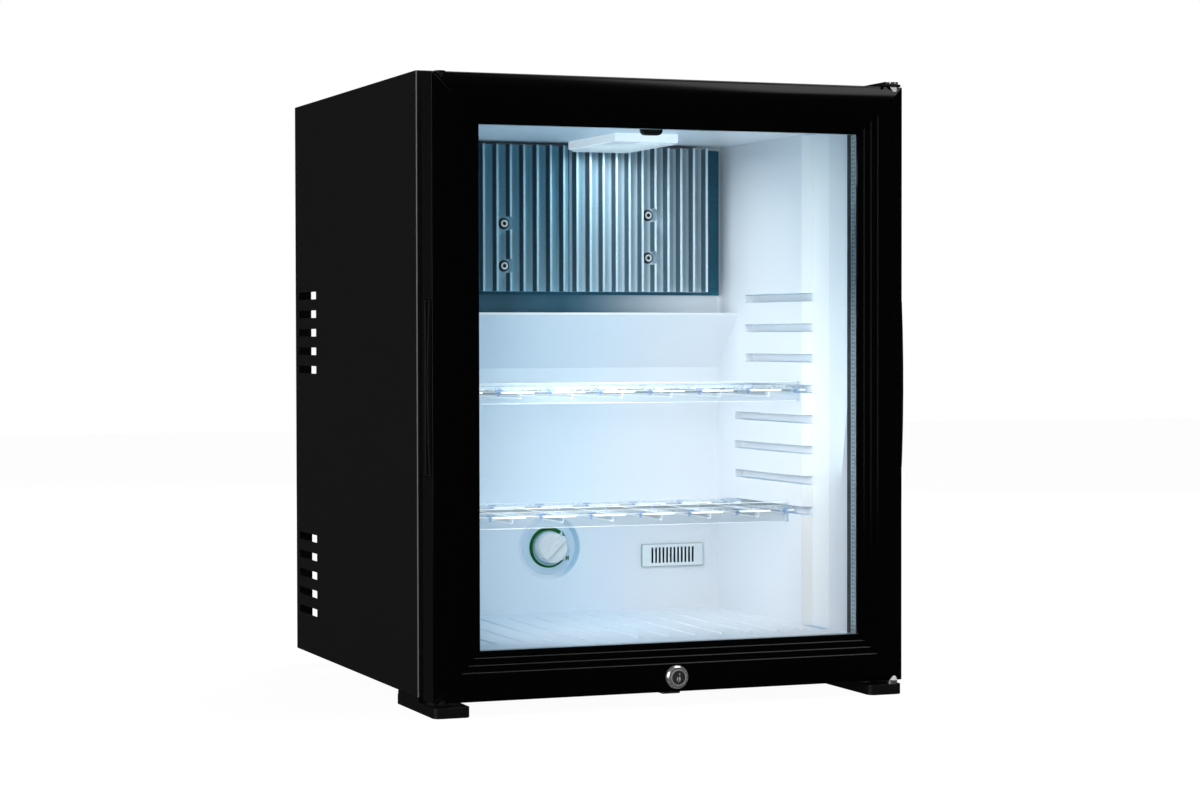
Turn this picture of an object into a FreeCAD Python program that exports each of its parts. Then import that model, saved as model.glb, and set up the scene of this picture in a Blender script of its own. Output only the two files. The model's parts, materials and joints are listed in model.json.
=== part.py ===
import FreeCAD
import Part
import Sketcher

import math
import operator
import os
from types import SimpleNamespace

from FreeCAD import Placement, Rotation, Vector

# A minibar fridge with a glass door, of the absorption kind, in millimetres.
# X runs to the right, Y to the back and Z up. The origin is on the floor, under the middle of the fridge.

SIZES = {
    # the whole fridge
    "fridge_width": 402,
    "fridge_height": 500,
    "fridge_depth": 410,
    "leg_height": 11.5,
    "sheet_wall": 1,
    "running_gap": 0.3,
    "overrun": 1,
    # cabinet
    "front_return": 8,
    "rear_return": 14.5,
    "unit_room": 87,
    "pan_lip": 12,
    "crossbar_depth": 45,
    "crossbar_lip": 16,
    "vent_length": 60,
    "vent_slot": 6.6,
    "vent_inset": 10,
    "vent_pitch": 16.4,
    "vent_lower": 49.2,
    "vent_upper": 264,
    # liner
    "liner_wall": 2,
    "mouth_inset": 29,
    "flare_width": 8,
    "foam_cover": 3,
    "plate_wall_step": 4,
    "floor_rise": 35,
    "ceiling_drop": 36,
    "flare_depth": 67,
    "flare_length": 6,
    "ledge_run": 45,
    "ledge_drop": 18.7,
    "ledge_rise": 49,
    "groove_slot": 6.7,
    "groove_lowest": 97.6,
    "groove_pitch": 26,
    "groove_upper_stop": 60,
    "groove_lower_stop": 38,
    "floor_rib_pitch": 25,
    "floor_rib_width": 3,
    "floor_rib_rise": 1.2,
    "floor_rib_inset": 35,
    # cooling plate
    "fin_side_gap": 24,
    "fin_seam": 11,
    "fin_seam_gap": 0.6,
    "fin_pitch": 12.4,
    "fin_thickness": 1.8,
    "fin_reach": 11,
    "fin_standoff": 15,
    "fin_base": 3,
    "fin_height": 128.3,
    "fin_top_gap": 3,
    "plate_thickness": 3,
    "plate_side_gap": 2,
    "plate_lap": 2.7,
    "plate_screw_radius": 2,
    "plate_screw_head": 4,
    "plate_screw_head_height": 2.4,
    "plate_screw_well": 6.5,
    "plate_screw_length": 28,
    "left_screw_place": -50,
    "left_screw_low": 22.3,
    "left_screw_high": 59.3,
    "right_screw_place": 86,
    "right_screw_low": 30.3,
    "right_screw_high": 68.3,
    "clamp_width": 30,
    "clamp_depth": 19,
    "clamp_low": 12.3,
    "clamp_height": 85,
    # lamp and door switch
    "lamp_left": 6,
    "lamp_right": 64,
    "lamp_length": 112.7,
    "lamp_drop": 7,
    "lamp_wall": 1.5,
    "lens_inset": 3,
    "lens_drop": 2,
    "lens_lap": 2,
    "board_inset": 8,
    "board_thickness": 1,
    "led_size": 4,
    "led_height": 0.7,
    "led_pitch": 18,
    "switch_half": 9,
    "switch_front_depth": 6,
    "switch_thickness": 6,
    "switch_drop": 9,
    "switch_round": 4,
    # thermostat and sensor
    "dial_rise": 58.5,
    "dish_radius": 29,
    "dish_floor_radius": 25,
    "dish_depth": 3,
    "dial_radius": 24.6,
    "dial_thickness": 0.8,
    "scale_outer_radius": 18.3,
    "scale_inner_radius": 16.55,
    "scale_shift": 0.95,
    "scale_gap_reach": 20,
    "scale_gap_half": 9,
    "scale_thickness": 0.4,
    "knob_radius": 14,
    "knob_top_radius": 13,
    "knob_height": 12,
    "knob_lift": 0.8,
    "ridge_width": 5,
    "ridge_rise": 4,
    "shaft_radius": 3,
    "shaft_in_body": 12,
    "thermostat_width": 44,
    "thermostat_height": 40,
    "thermostat_depth": 21,
    "grille_side_gap": 16,
    "grille_drop": 10,
    "grille_width": 60,
    "grille_rise": 20.5,
    "grille_thickness": 2.5,
    "grille_round": 1.5,
    "grille_slot": 1.6,
    "grille_slot_rise": 14,
    "grille_slot_pitch": 3.6,
    "sensor_well_width": 48,
    "sensor_well_rise": 15,
    "sensor_well_depth": 9,
    "sensor_radius": 3,
    "sensor_length": 30,
    # door
    "door_standoff": 14,
    "door_top_drop": 4.5,
    "frame_width": 39,
    "bevel_width": 7,
    "bevel_drop": 3,
    "slope_drop": 1.5,
    "step_width": 5.5,
    "step_drop": 1,
    "step_slope": 0.4,
    "glass_set": 6.5,
    "glass_lap": 12,
    "glass_gap": 1,
    "pane_thickness": 3.3,
    "pane_space": 9.3,
    "spacer_width": 7,
    "spacer_inset": 0.6,
    "rear_frame_depth": 6.6,
    "rear_wall_width": 8,
    "chamber_wall": 3,
    "chamber_front": 5.5,
    "key_front": 10.5,
    "key_length": 45,
    "rear_frame_lap": 2,
    "gasket_groove_inset": 4,
    "gasket_groove_width": 4,
    "gasket_groove_depth": 3.5,
    "gasket_width": 9,
    "gasket_foot": 2,
    "gasket_neck": 5,
    # handles
    "handle_length": 136,
    "handle_front": 5.2,
    "handle_depth": 14.5,
    "handle_wall": 1.4,
    "lip_thickness": 3,
    "lip_end_proud": 1.6,
    "lip_middle_proud": 3,
    "handle_rib": 1.2,
    "handle_rib_rise": 3,
    "handle_rib_length": 38,
    "handle_rib_inset": 10,
    # hinges
    "hinge_side_inset": 7.5,
    "hinge_front_inset": 5.5,
    "bush_radius": 4,
    "bush_length": 12,
    "pin_radius": 3,
    "pin_gap": 0.2,
    "pin_reach": 10,
    "pin_collar": 4.2,
    "pin_sink": 5,
    "pin_head_radius": 4.6,
    "pin_head_height": 2.2,
    "pin_slot": 1.6,
    "pin_slot_depth": 1.4,
    "plug_radius": 3.7,
    "plug_cap_radius": 4.4,
    "plug_cap": 0.8,
    "plug_length": 8,
    "bracket_lift": 0.5,
    "bracket_plate": 1.5,
    "bracket_width": 17,
    "bracket_inset": 0.5,
    "bracket_nose": 6.6,
    "bracket_flange": 1.8,
    "bracket_leg": 28,
    "hinge_screw_radius": 1.8,
    "hinge_screw_head": 3.5,
    "hinge_screw_head_height": 1.8,
    "hinge_screw_length": 14,
    "hinge_screw_low": 8,
    "hinge_screw_high": 19,
    # feet
    "foot_width": 30,
    "foot_length": 101,
    "foot_front_inset": 1,
    "foot_round": 6,
    "toe_drop": 3.2,
    "foot_screw_inset": 15,
    "foot_screw_length": 9,
    "foot_screw_sink": 3,
    "rear_foot_radius": 16,
    "rear_foot_side_gap": 50,
    "rear_foot_inset": 24,
    # lock and strike
    "lock_rise": 11.9,
    "lock_proud": 4,
    "ring_radius": 9.25,
    "ring_proud": 3.2,
    "ring_set": 2,
    "barrel_radius": 8,
    "lock_rear_gap": 1.6,
    "plug_face_radius": 6.4,
    "keyway_width": 1.6,
    "keyway_rise": 7,
    "keyway_depth": 9,
    "cam_thickness": 1.8,
    "cam_width": 8,
    "cam_reach": 15.4,
    "cam_slot_gap": 0.9,
    "cam_stud_radius": 2.2,
    "cam_stud_head": 3.4,
    "cam_stud_rise": 1.2,
    "strike_width": 15,
    "strike_thickness": 1.5,
    "strike_front_inset": 11,
    "strike_step": 1,
    "strike_lap": 30,
    "strike_joggle": 6,
    "strike_slot_half": 5,
    "strike_slot_gap": 2,
    # shelves
    "shelf_gap": 1,
    "shelf_depth": 129,
    "tab_length": 115,
    "tab_end_gap": 2,
    "tab_gap": 0.3,
    "shelf_deck": 3,
    "shelf_wall": 2,
    "shelf_bar": 4,
    "shelf_rim": 6.7,
    "shelf_skirt": 10.3,
    "shelf_rib_pitch": 44.6,
    "shelf_rib_drop": 6,
    "shelf_edge": 5,
    # cooling unit
    "unit_depth": 42,
    "tank_radius": 26,
    "tank_round": 9,
    "tank_overhang": 35,
    "tank_gap": 36,
    "tank_height": 80,
    "boiler_gap": 8,
    "boiler_radius": 28,
    "boiler_round": 5,
    "boiler_low": 50,
    "boiler_high": 330,
    "tube_radius": 8,
    "tube_bend": 16,
    "thin_tube_radius": 5,
    "coil_gap": 7,
    "coil_inset": 34,
    "coil_drop": 75.5,
    "coil_row": 38,
    "condenser_drop": 50,
    "riser_bend": 20,
    "condenser_fin": 0.8,
    "condenser_fin_pitch": 11,
    "condenser_fin_left_gap": 35,
    "condenser_fin_right_gap": 29,
    "condenser_fin_depth": 46,
    "condenser_fin_rise": 40,
    "chill_tube_radius": 7,
    "chill_cover": 2,
    "chill_low": 44.8,
    "chill_rise": 39.5,
    "chill_offset": 30,
    "chill_end_gap": 15,
    "chill_bend": 14,
    "chill_stub": 15,
    "strap_height": 20,
    "strap_thickness": 2,
    "strap_tab": 16,
    "lower_strap": 132,
    "upper_strap": 350,
    "liquid_height": 72,
    # drain
    "drain_inset": 70,
    "drain_radius": 5,
    "drain_wall": 1,
    "drain_bend": 10,
    "drain_gap": 10,
    "drain_dip": 18,
    "drain_drop": 34,
    "drain_back": 16,
    "cup_width": 80,
    "cup_depth": 44,
    "cup_rise": 26,
    "cup_wall": 2,
    "drip_gap": 10,
    # terminal box
    "terminal_inset": 14,
    "terminal_width": 66,
    "terminal_height": 72,
    "terminal_gap": 30,
    "terminal_depth": 42,
    "terminal_round": 3,
    "inlet_width": 27.5,
    "inlet_rise": 20,
    "inlet_lip": 2.5,
    "inlet_lip_thickness": 2,
    "inlet_body": 18,
    "inlet_well_width": 24,
    "inlet_well_rise": 16.4,
    "inlet_well": 15,
    "inlet_blade_width": 2,
    "inlet_blade_rise": 4,
    "inlet_blade_length": 12,
    "inlet_blade_pitch": 7,
}

TURNS = {
    "X": Rotation(Vector(0, 1, 0), 90),
    "Y": Rotation(Vector(1, 0, 0), -90),
    "Z": Rotation(),
    "front": Rotation(Vector(1, 0, 0), 90),
    "pointer": Rotation(Vector(0, 1, 0), 45).multiply(Rotation(Vector(1, 0, 0), 90)),
}
SIGNS = {"+": operator.add, "-": operator.sub, "*": operator.mul, "/": operator.truediv}
SAME = 1e-6


class Size:
    """A length with the formula that gives it, so that what it drives follows the sheet."""

    def __init__(self, formula, value):
        self.formula = formula
        self.value = value

    def __float__(self):
        return float(self.value)

    def __neg__(self):
        return combine(0, "-", self)

    def __add__(self, other):
        return combine(self, "+", other)

    def __radd__(self, other):
        return combine(other, "+", self)

    def __sub__(self, other):
        return combine(self, "-", other)

    def __rsub__(self, other):
        return combine(other, "-", self)

    def __mul__(self, other):
        return combine(self, "*", other)

    def __rmul__(self, other):
        return combine(other, "*", self)

    def __truediv__(self, other):
        return combine(self, "/", other)


def as_size(number):
    """A plain number as a size of its own."""
    return number if isinstance(number, Size) else Size(f"({number})", number)


def combine(left, sign, right):
    """Joins two sizes, or a size and a plain number, in one formula."""
    left, right = as_size(left), as_size(right)
    return Size(f"({left.formula} {sign} {right.formula})", SIGNS[sign](left.value, right.value))


def read_sheet(sheet, table):
    """Writes the driving sizes to the sheet and gives each of them back by its name."""
    for row, (name, number) in enumerate(table.items(), 1):
        sheet.set(f"A{row}", name)
        sheet.set(f"B{row}", str(number))
        sheet.setAlias(f"B{row}", name)
    return SimpleNamespace(**{name: Size("Sizes." + name, number) for name, number in table.items()})


doc = FreeCAD.newDocument("Minibar")
S = read_sheet(doc.addObject("Spreadsheet::Sheet", "Sizes"), SIZES)
doc.recompute()
kept = []


def bind(thing, prop, size):
    """Ties one property to the formula of a size."""
    thing.setExpression(prop, as_size(size).formula)


def stand(thing, place, turn="Z"):
    """Turns a thing and stands it at a place that follows the sheet."""
    thing.Placement = Placement(Vector(), TURNS[turn])
    for axis, size in zip("xyz", place):
        bind(thing, "Placement.Base." + axis, size)
    return thing


def keep(thing, name):
    """Marks a finished piece, whose label is the name of its file."""
    thing.Label = name
    kept.append(thing)
    return thing


def hold(sketch, line, end, u, v):
    """Ties one end of a line to its place from the sketch's origin."""
    for kind, size in (("DistanceX", u), ("DistanceY", v)):
        number = sketch.addConstraint(Sketcher.Constraint(kind, line, end, float(size)))
        sketch.setExpression(f"Constraints[{number}]", as_size(size).formula)


def polygon(*points):
    """A closed outline with straight sides through the points."""

    def loop(sketch):
        lines = []
        for here, there in zip(points, points[1:] + points[:1]):
            ends = [Vector(float(u), float(v), 0) for u, v in (here, there)]
            lines.append(sketch.addGeometry(Part.LineSegment(*ends), False))
        for line, following, point in zip(lines, lines[1:] + lines[:1], points):
            sketch.addConstraint(Sketcher.Constraint("Coincident", line, 2, following, 1))
            hold(sketch, line, 1, *point)

    return loop


def rectangle(u, v):
    """A rectangle between two places across and two places up."""
    return polygon((u[0], v[0]), (u[1], v[0]), (u[1], v[1]), (u[0], v[1]))


def circle(u, v, radius):
    """A circle about a point."""

    def loop(sketch):
        ring = Part.Circle(Vector(float(u), float(v), 0), Vector(0, 0, 1), float(radius))
        number = sketch.addGeometry(ring, False)
        hold(sketch, number, 3, u, v)
        rule = sketch.addConstraint(Sketcher.Constraint("Radius", number, float(radius)))
        sketch.setExpression(f"Constraints[{rule}]", as_size(radius).formula)

    return loop


def about(middle, width):
    """Two places that lie evenly about a middle."""
    return middle - width / 2, middle + width / 2


def along(axis):
    """A test for straight edges that run along one axis."""

    def test(edge):
        spans = {"X": edge.BoundBox.XLength, "Y": edge.BoundBox.YLength, "Z": edge.BoundBox.ZLength}
        return all((span > SAME) == (name == axis) for name, span in spans.items())

    return test


class Solid:
    """A body that is built up and cut back by outlines on its own planes."""

    def __init__(self, name):
        self.body = doc.addObject("PartDesign::Body", name)

    def draw(self, plane, level, loops):
        """Draws closed loops on one of the body's planes, moved along the plane's normal."""
        sketch = self.body.newObject("Sketcher::SketchObject", self.body.Name + "_outline")
        support = [item for item in self.body.Origin.OriginFeatures if item.Role == plane + "_Plane"]
        sketch.AttachmentSupport = [(support[0], "")]
        sketch.MapMode = "FlatFace"
        bind(sketch, "AttachmentOffset.Base.z", level)
        for loop in loops:
            loop(sketch)
        return sketch

    def extrude(self, kind, plane, low, high, loops):
        """Pads or pockets the loops between two places on the axis that the plane faces."""
        level = -high if plane == "XZ" else low
        feature = self.body.newObject("PartDesign::" + kind, f"{self.body.Name}_{kind.lower()}")
        feature.Profile = self.draw(plane, level, loops)
        bind(feature, "Length", high - low)
        return feature

    def add(self, plane, low, high, *loops):
        """Adds material inside the loops."""
        self.extrude("Pad", plane, low, high, loops)
        return self

    def cut(self, plane, low, high, *loops):
        """Takes away material inside the loops."""
        self.extrude("Pocket", plane, low, high, loops).Reversed = True
        return self

    def turn(self, *profile):
        """Turns half an outline about the body's upright axis."""
        sketch = self.draw("XZ", 0, [polygon(*profile)])
        feature = self.body.newObject("PartDesign::Revolution", self.body.Name + "_turned")
        feature.Profile = sketch
        feature.ReferenceAxis = (sketch, ["V_Axis"])
        feature.Angle = 360
        return self

    def round(self, radius, test):
        """Rounds the edges that pass the test."""
        doc.recompute()
        tip = self.body.Tip
        edges = [f"Edge{number}" for number, edge in enumerate(tip.Shape.Edges, 1) if test(edge)]
        fillet = self.body.newObject("PartDesign::Fillet", self.body.Name + "_round")
        fillet.Base = (tip, edges)
        bind(fillet, "Radius", radius)
        return self


def box(name, x, y, z):
    """A block between two places on each axis."""
    block = doc.addObject("Part::Box", name)
    for side, axis, (low, high) in zip(("Length", "Width", "Height"), "xyz", (x, y, z)):
        bind(block, side, high - low)
        bind(block, "Placement.Base." + axis, low)
    return block


def rod(name, axis, low, high, centre, radius):
    """A round bar between two places on an axis, about the centre on the other two axes."""
    bar = doc.addObject("Part::Cylinder", name)
    bind(bar, "Radius", radius)
    bind(bar, "Height", high - low)
    place = list(centre)
    place.insert("XYZ".index(axis), low)
    return stand(bar, place, axis)


def fuse(name, *parts):
    """Several solids as one."""
    whole = doc.addObject("Part::MultiFuse", name)
    whole.Shapes = list(parts)
    return whole


def group(name, *parts):
    """Several separate solids as one piece of several."""
    whole = doc.addObject("Part::Compound", name)
    whole.Links = list(parts)
    return whole


def cut(name, base, *tools):
    """One solid with others taken away."""
    result = doc.addObject("Part::Cut", name)
    result.Base = base
    result.Tool = tools[0] if len(tools) == 1 else fuse(name + "_tools", *tools)
    return result


def pipe(name, radius, bend, *points):
    """A round tube along straight runs that meet in round bends."""
    corners = [Vector(*(float(size) for size in point)) for point in points]
    edges = []
    start = corners[0]
    for before, corner, after in zip(corners, corners[1:], corners[2:]):
        back = (before - corner).normalize()
        onward = (after - corner).normalize()
        half_angle = back.getAngle(onward) / 2
        inward = (back + onward).normalize()
        reach = float(bend) / math.tan(half_angle)
        middle = corner + inward * (float(bend) / math.sin(half_angle) - float(bend))
        edges.append(Part.LineSegment(start, corner + back * reach).toShape())
        edges.append(Part.Arc(corner + back * reach, middle, corner + onward * reach).toShape())
        start = corner + onward * reach
    edges.append(Part.LineSegment(start, corners[-1]).toShape())
    section = Part.Wire(Part.makeCircle(float(radius), corners[0], corners[1] - corners[0]))
    tube = doc.addObject("Part::Feature", name)
    tube.Shape = Part.Wire(edges).makePipeShell([section], True, True)
    return tube


# Places that several pieces share

half = S.fridge_width / 2
inside = half - S.sheet_wall
front = (S.lock_proud - S.fridge_depth) / 2
back = front + S.fridge_depth
base = S.leg_height
top = S.fridge_height

# the door
glass_back = S.glass_set + 2 * S.pane_thickness + S.pane_space
door_back = front + glass_back + S.rear_frame_depth
door_bottom = base
door_top = top - S.door_top_drop
chamber_rear = glass_back - S.chamber_wall
glass_rebate = S.frame_width - S.glass_lap - S.glass_gap
hinge_x = half - S.hinge_side_inset
hinge_y = front + S.hinge_front_inset
handle_middle = (door_bottom + door_top) / 2
handle_low = handle_middle - S.handle_length / 2
handle_high = handle_middle + S.handle_length / 2
lock_height = base + S.lock_rise
toe_height = S.leg_height - S.toe_drop
cam_back = front + chamber_rear - S.lock_rear_gap - S.cam_stud_rise
cam_front = cam_back - S.cam_thickness
barrel_length = cam_front - front - S.running_gap

# the cabinet and its liner
cabinet_front = door_back + S.door_standoff
rear_face = back - S.unit_room
foam_back = rear_face - S.sheet_wall
body_front = foam_back - S.foam_cover - S.thermostat_depth
liner_back = body_front - S.liner_wall - S.dish_depth
plate_back = liner_back - S.plate_wall_step
plate_front = plate_back - S.plate_thickness
flare_front = cabinet_front + S.flare_depth
mouth_half = half - S.mouth_inset
liner_half = mouth_half - S.flare_width
liner_floor = base + S.floor_rise
liner_ceiling = top - S.ceiling_drop

# the cooling plate and the ledge below it
fin_root = plate_front - S.fin_standoff
fin_tip = fin_root - S.fin_reach
fin_end = liner_half - S.fin_side_gap
fin_high = liner_ceiling - S.fin_top_gap
fin_low = fin_high - S.fin_height
ledge_top = fin_low - S.ledge_drop
ledge_foot = ledge_top - S.ledge_rise
ledge_front = liner_back - S.ledge_run
plate_screws = (
    (S.left_screw_place, fin_low + S.left_screw_low),
    (S.left_screw_place, fin_low + S.left_screw_high),
    (S.right_screw_place, fin_low + S.right_screw_low),
    (S.right_screw_place, fin_low + S.right_screw_high),
)

# the thermostat and the sensor
dial_height = liner_floor + S.dial_rise
dish_floor = liner_back + S.dish_depth
dial_face = dish_floor - S.dial_thickness
grille_place = liner_half - S.grille_side_gap - S.grille_width / 2
grille_height = dial_height - S.grille_drop

# the drain and the cooling unit
drain_place = S.drain_inset - inside
drain_height = ledge_top - S.drain_dip
cup_low = drain_height - S.drain_drop - S.drip_gap - S.cup_rise
unit_y = rear_face + S.unit_depth
boiler_place = inside - S.boiler_gap - S.boiler_radius
tank_right = boiler_place - S.boiler_radius - S.tank_gap
coil_left = drain_place + S.cup_width / 2 + S.coil_gap + S.tube_radius
coil_right = tank_right - S.coil_inset
tank_left = coil_left - S.tank_overhang
chill_y = plate_back + S.liner_wall + S.chill_cover + S.chill_tube_radius
chill_low = fin_low + S.chill_low
chill_high = chill_low + S.chill_rise
chill_left = coil_left - S.chill_offset
coil_top = chill_low - S.coil_drop
coil_lowest = S.tank_height + S.tank_radius + S.tube_bend
condenser_height = top - S.condenser_drop

LOWER_GROOVES = 4
GROOVES = 8
LOWER_SHELF_GROOVE = 0
UPPER_SHELF_GROOVE = 4
VENTS_IN_GROUP = 5
LEDS = 5
GRILLE_SLOTS = 12
grooves = [
    (liner_floor + S.groove_lowest + S.groove_pitch * row,
     liner_back - (S.groove_lower_stop if row < LOWER_GROOVES else S.groove_upper_stop))
    for row in range(GROOVES)
]


# Cabinet

def arch(reach):
    """The cabinet's front outline, open below, as wide as the reach from the outside in."""
    inner = half - reach
    return polygon(
        (-half, base), (-half, top), (half, top), (half, base),
        (inner, base), (inner, top - reach), (-inner, top - reach), (-inner, base),
    )


def outer_shell(screws):
    """Painted steel over both sides and the top, with returns front and back, and vents at the rear."""
    wall = S.sheet_wall
    shell = Solid("shell_blank").add("XZ", cabinet_front, back, arch(wall))
    shell.add("XZ", cabinet_front, cabinet_front + wall, arch(S.front_return))
    shell.add("XZ", back - wall, back, arch(S.rear_return))
    span = (back - S.vent_inset - S.vent_length, back - S.vent_inset)
    slots = []
    for lowest in (S.vent_lower, S.vent_upper):
        for row in range(VENTS_IN_GROUP):
            slots.append(rectangle(span, about(lowest + S.vent_pitch * row, S.vent_slot)))
    shell.cut("YZ", -half - S.overrun, half + S.overrun, *slots)
    return keep(cut("outer_shell", shell.body, screws), "outer_shell")


def bottom_panel(*screws):
    """Steel pan under the foam, with a lip up behind the rear panel."""
    wall = S.sheet_wall
    start, end = cabinet_front + S.liner_wall, foam_back + 2 * wall
    section = polygon(
        (start, base), (end, base), (end, base + S.pan_lip),
        (end - wall, base + S.pan_lip), (end - wall, base + wall), (start, base + wall),
    )
    pan = Solid("pan_blank").add("YZ", -inside, inside, section)
    return keep(cut("bottom_panel", pan.body, *screws), "bottom_panel")


def rear_crossbar(screws):
    """Steel channel between the cabinet's sides at the back, which carries the rear feet."""
    wall = S.sheet_wall
    start, end = back - wall - S.crossbar_depth, back - wall
    section = polygon(
        (start, base), (end, base), (end, base + S.crossbar_lip), (end - wall, base + S.crossbar_lip),
        (end - wall, base + wall), (start + wall, base + wall),
        (start + wall, base + S.crossbar_lip), (start, base + S.crossbar_lip),
    )
    rail = Solid("crossbar_blank").add("YZ", -inside, inside, section)
    return keep(cut("rear_crossbar", rail.body, screws), "rear_crossbar")


def square_root(size):
    """The square root of a size."""
    return Size(f"sqrt({size.formula})", math.sqrt(size.value))


def cavity_form(name, grow, start):
    """The room inside the liner, or with the liner's wall added all round, its outside."""
    form = Solid(name)
    low, high = liner_floor - grow, liner_ceiling + grow
    side, opening = liner_half + grow, mouth_half + grow
    run, rise = S.ledge_run, S.ledge_rise
    slant = square_root(run * run + rise * rise)
    form.add("YZ", -side, side, polygon(
        (start, low), (liner_back + grow, low),
        (liner_back + grow, ledge_foot + (slant - rise) / run * grow),
        (ledge_front + (slant + run) / rise * grow, ledge_top - grow),
        (plate_back + grow, ledge_top - grow), (plate_back + grow, high), (start, high),
    ))
    bend = flare_front + grow / 2
    form.add("XY", low, high, polygon(
        (-opening, start), (opening, start), (opening, bend), (side, bend + S.flare_length),
        (-side, bend + S.flare_length), (-opening, bend),
    ))
    for height, stop in grooves:
        form.add("YZ", -opening, opening, rectangle(
            (flare_front, stop + grow), about(height, S.groove_slot + 2 * grow)))
    return form.body


def sensor_pocket(name, grow):
    """The pocket behind the sensor's cover, or with the liner's wall added, its outside."""
    return box(name, about(grille_place, S.sensor_well_width + 2 * grow),
               (liner_back - S.sheet_wall, liner_back + S.sensor_well_depth + grow),
               about(grille_height, S.sensor_well_rise + 2 * grow))


def dial_dish():
    """The dished room in front of the thermostat, with the shaft's hole."""
    dish = Solid("dial_dish").turn(
        (0, -S.dish_depth), (S.dish_floor_radius, -S.dish_depth), (S.dish_radius, 0),
        (S.dish_radius, S.overrun), (0, S.overrun),
    ).body
    stand(dish, (0, liner_back, dial_height), "front")
    hole = rod("dial_hole", "Y", liner_back, dish_floor + S.liner_wall + S.overrun, (0, dial_height),
               S.shaft_radius + S.running_gap)
    return fuse("dial_room", dish, hole)


def inner_liner(pieces):
    """White moulded liner: flared mouth, shelf grooves, ledge, ribbed floor and the thermostat's dish."""
    outside = cavity_form("liner_outside", S.liner_wall, cabinet_front)
    inner = cavity_form("liner_inside", 0, cabinet_front - S.overrun)
    rim_half = half - S.front_return
    rim = box("liner_rim", (-rim_half, rim_half), (cabinet_front, cabinet_front + S.liner_wall),
              (base, top - S.front_return))
    boss = rod("dial_boss", "Y", liner_back, dish_floor + S.liner_wall, (0, dial_height),
               S.dish_radius + S.liner_wall)
    block = fuse("liner_block", outside, rim, boss, sensor_pocket("pocket_outside", S.liner_wall))
    shell = cut("liner_shell", block, inner, dial_dish(), sensor_pocket("pocket_inside", 0), *pieces)
    count = int(float(liner_half) // float(S.floor_rib_pitch))
    ribs = Solid("floor_ribs")
    ribs.add("XZ", cabinet_front + S.floor_rib_inset, liner_back - S.floor_rib_inset, *[
        rectangle(about(S.floor_rib_pitch * number, S.floor_rib_width),
                  (liner_floor - S.liner_wall / 2, liner_floor + S.floor_rib_rise))
        for number in range(-count, count + 1)
    ])
    keep(fuse("inner_liner", shell, ribs.body), "inner_liner")
    return block


def insulation(pieces):
    """Foam between the liner, the steel and the rear panel."""
    block = box("foam_block", (-inside, inside), (cabinet_front + S.sheet_wall, foam_back),
                (base + S.sheet_wall, top - S.sheet_wall))
    return keep(cut("insulation", block, *pieces), "insulation")


def rear_panel(*pieces):
    """Steel sheet that closes the foam at the back."""
    sheet_metal = box("rear_sheet", (-inside, inside), (foam_back, foam_back + S.sheet_wall),
                      (base + S.sheet_wall, top - S.sheet_wall))
    return keep(cut("rear_panel", sheet_metal, *pieces), "rear_panel")


# Cooling plate

def screw_set(name, axis_name, places, face, head, head_height, shank, length):
    """Round-headed screws with their heads in front of a face."""
    parts = []
    for number, place in enumerate(places):
        cap = rod(f"{name}_head_{number}", axis_name, face - head_height, face, place, head)
        pin = rod(f"{name}_shank_{number}", axis_name, face, face + length, place, shank)
        parts.append(fuse(f"{name}_{number}", cap, pin))
    return group(name, *parts)


def fin_plate(name, low, high, screws):
    """One finned extrusion, with legs back to the plate and wells for its screws."""
    plate = Solid(name + "_section")
    span = (fin_low, fin_high)
    plate.add("XY", *span, rectangle((low, high), (fin_root, fin_root + S.fin_base)))
    count = int(float(fin_end + fin_end) // float(S.fin_pitch)) + 1
    fins = []
    for number in range(count):
        edge = fin_end - S.fin_pitch * number
        if float(edge - S.fin_thickness) >= float(low) and float(edge) <= float(high):
            fins.append(rectangle((edge - S.fin_thickness, edge), (fin_tip, fin_root + S.fin_base / 2)))
    plate.add("XY", *span, *fins)
    foot = S.fin_base * 4
    legs = [
        rectangle((place, place + foot), (fin_root + S.fin_base / 2, plate_front))
        for place in (low, high - foot)
    ]
    plate.add("XY", *span, *legs)
    wells = [circle(x, z, S.plate_screw_well) for x, z in screws]
    plate.cut("XZ", fin_tip - S.overrun, fin_root, *wells)
    holes = [circle(x, z, S.plate_screw_radius) for x, z in screws]
    plate.cut("XZ", fin_root - S.overrun, fin_root + S.fin_base + S.overrun, *holes)
    return keep(plate.body, name)


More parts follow.
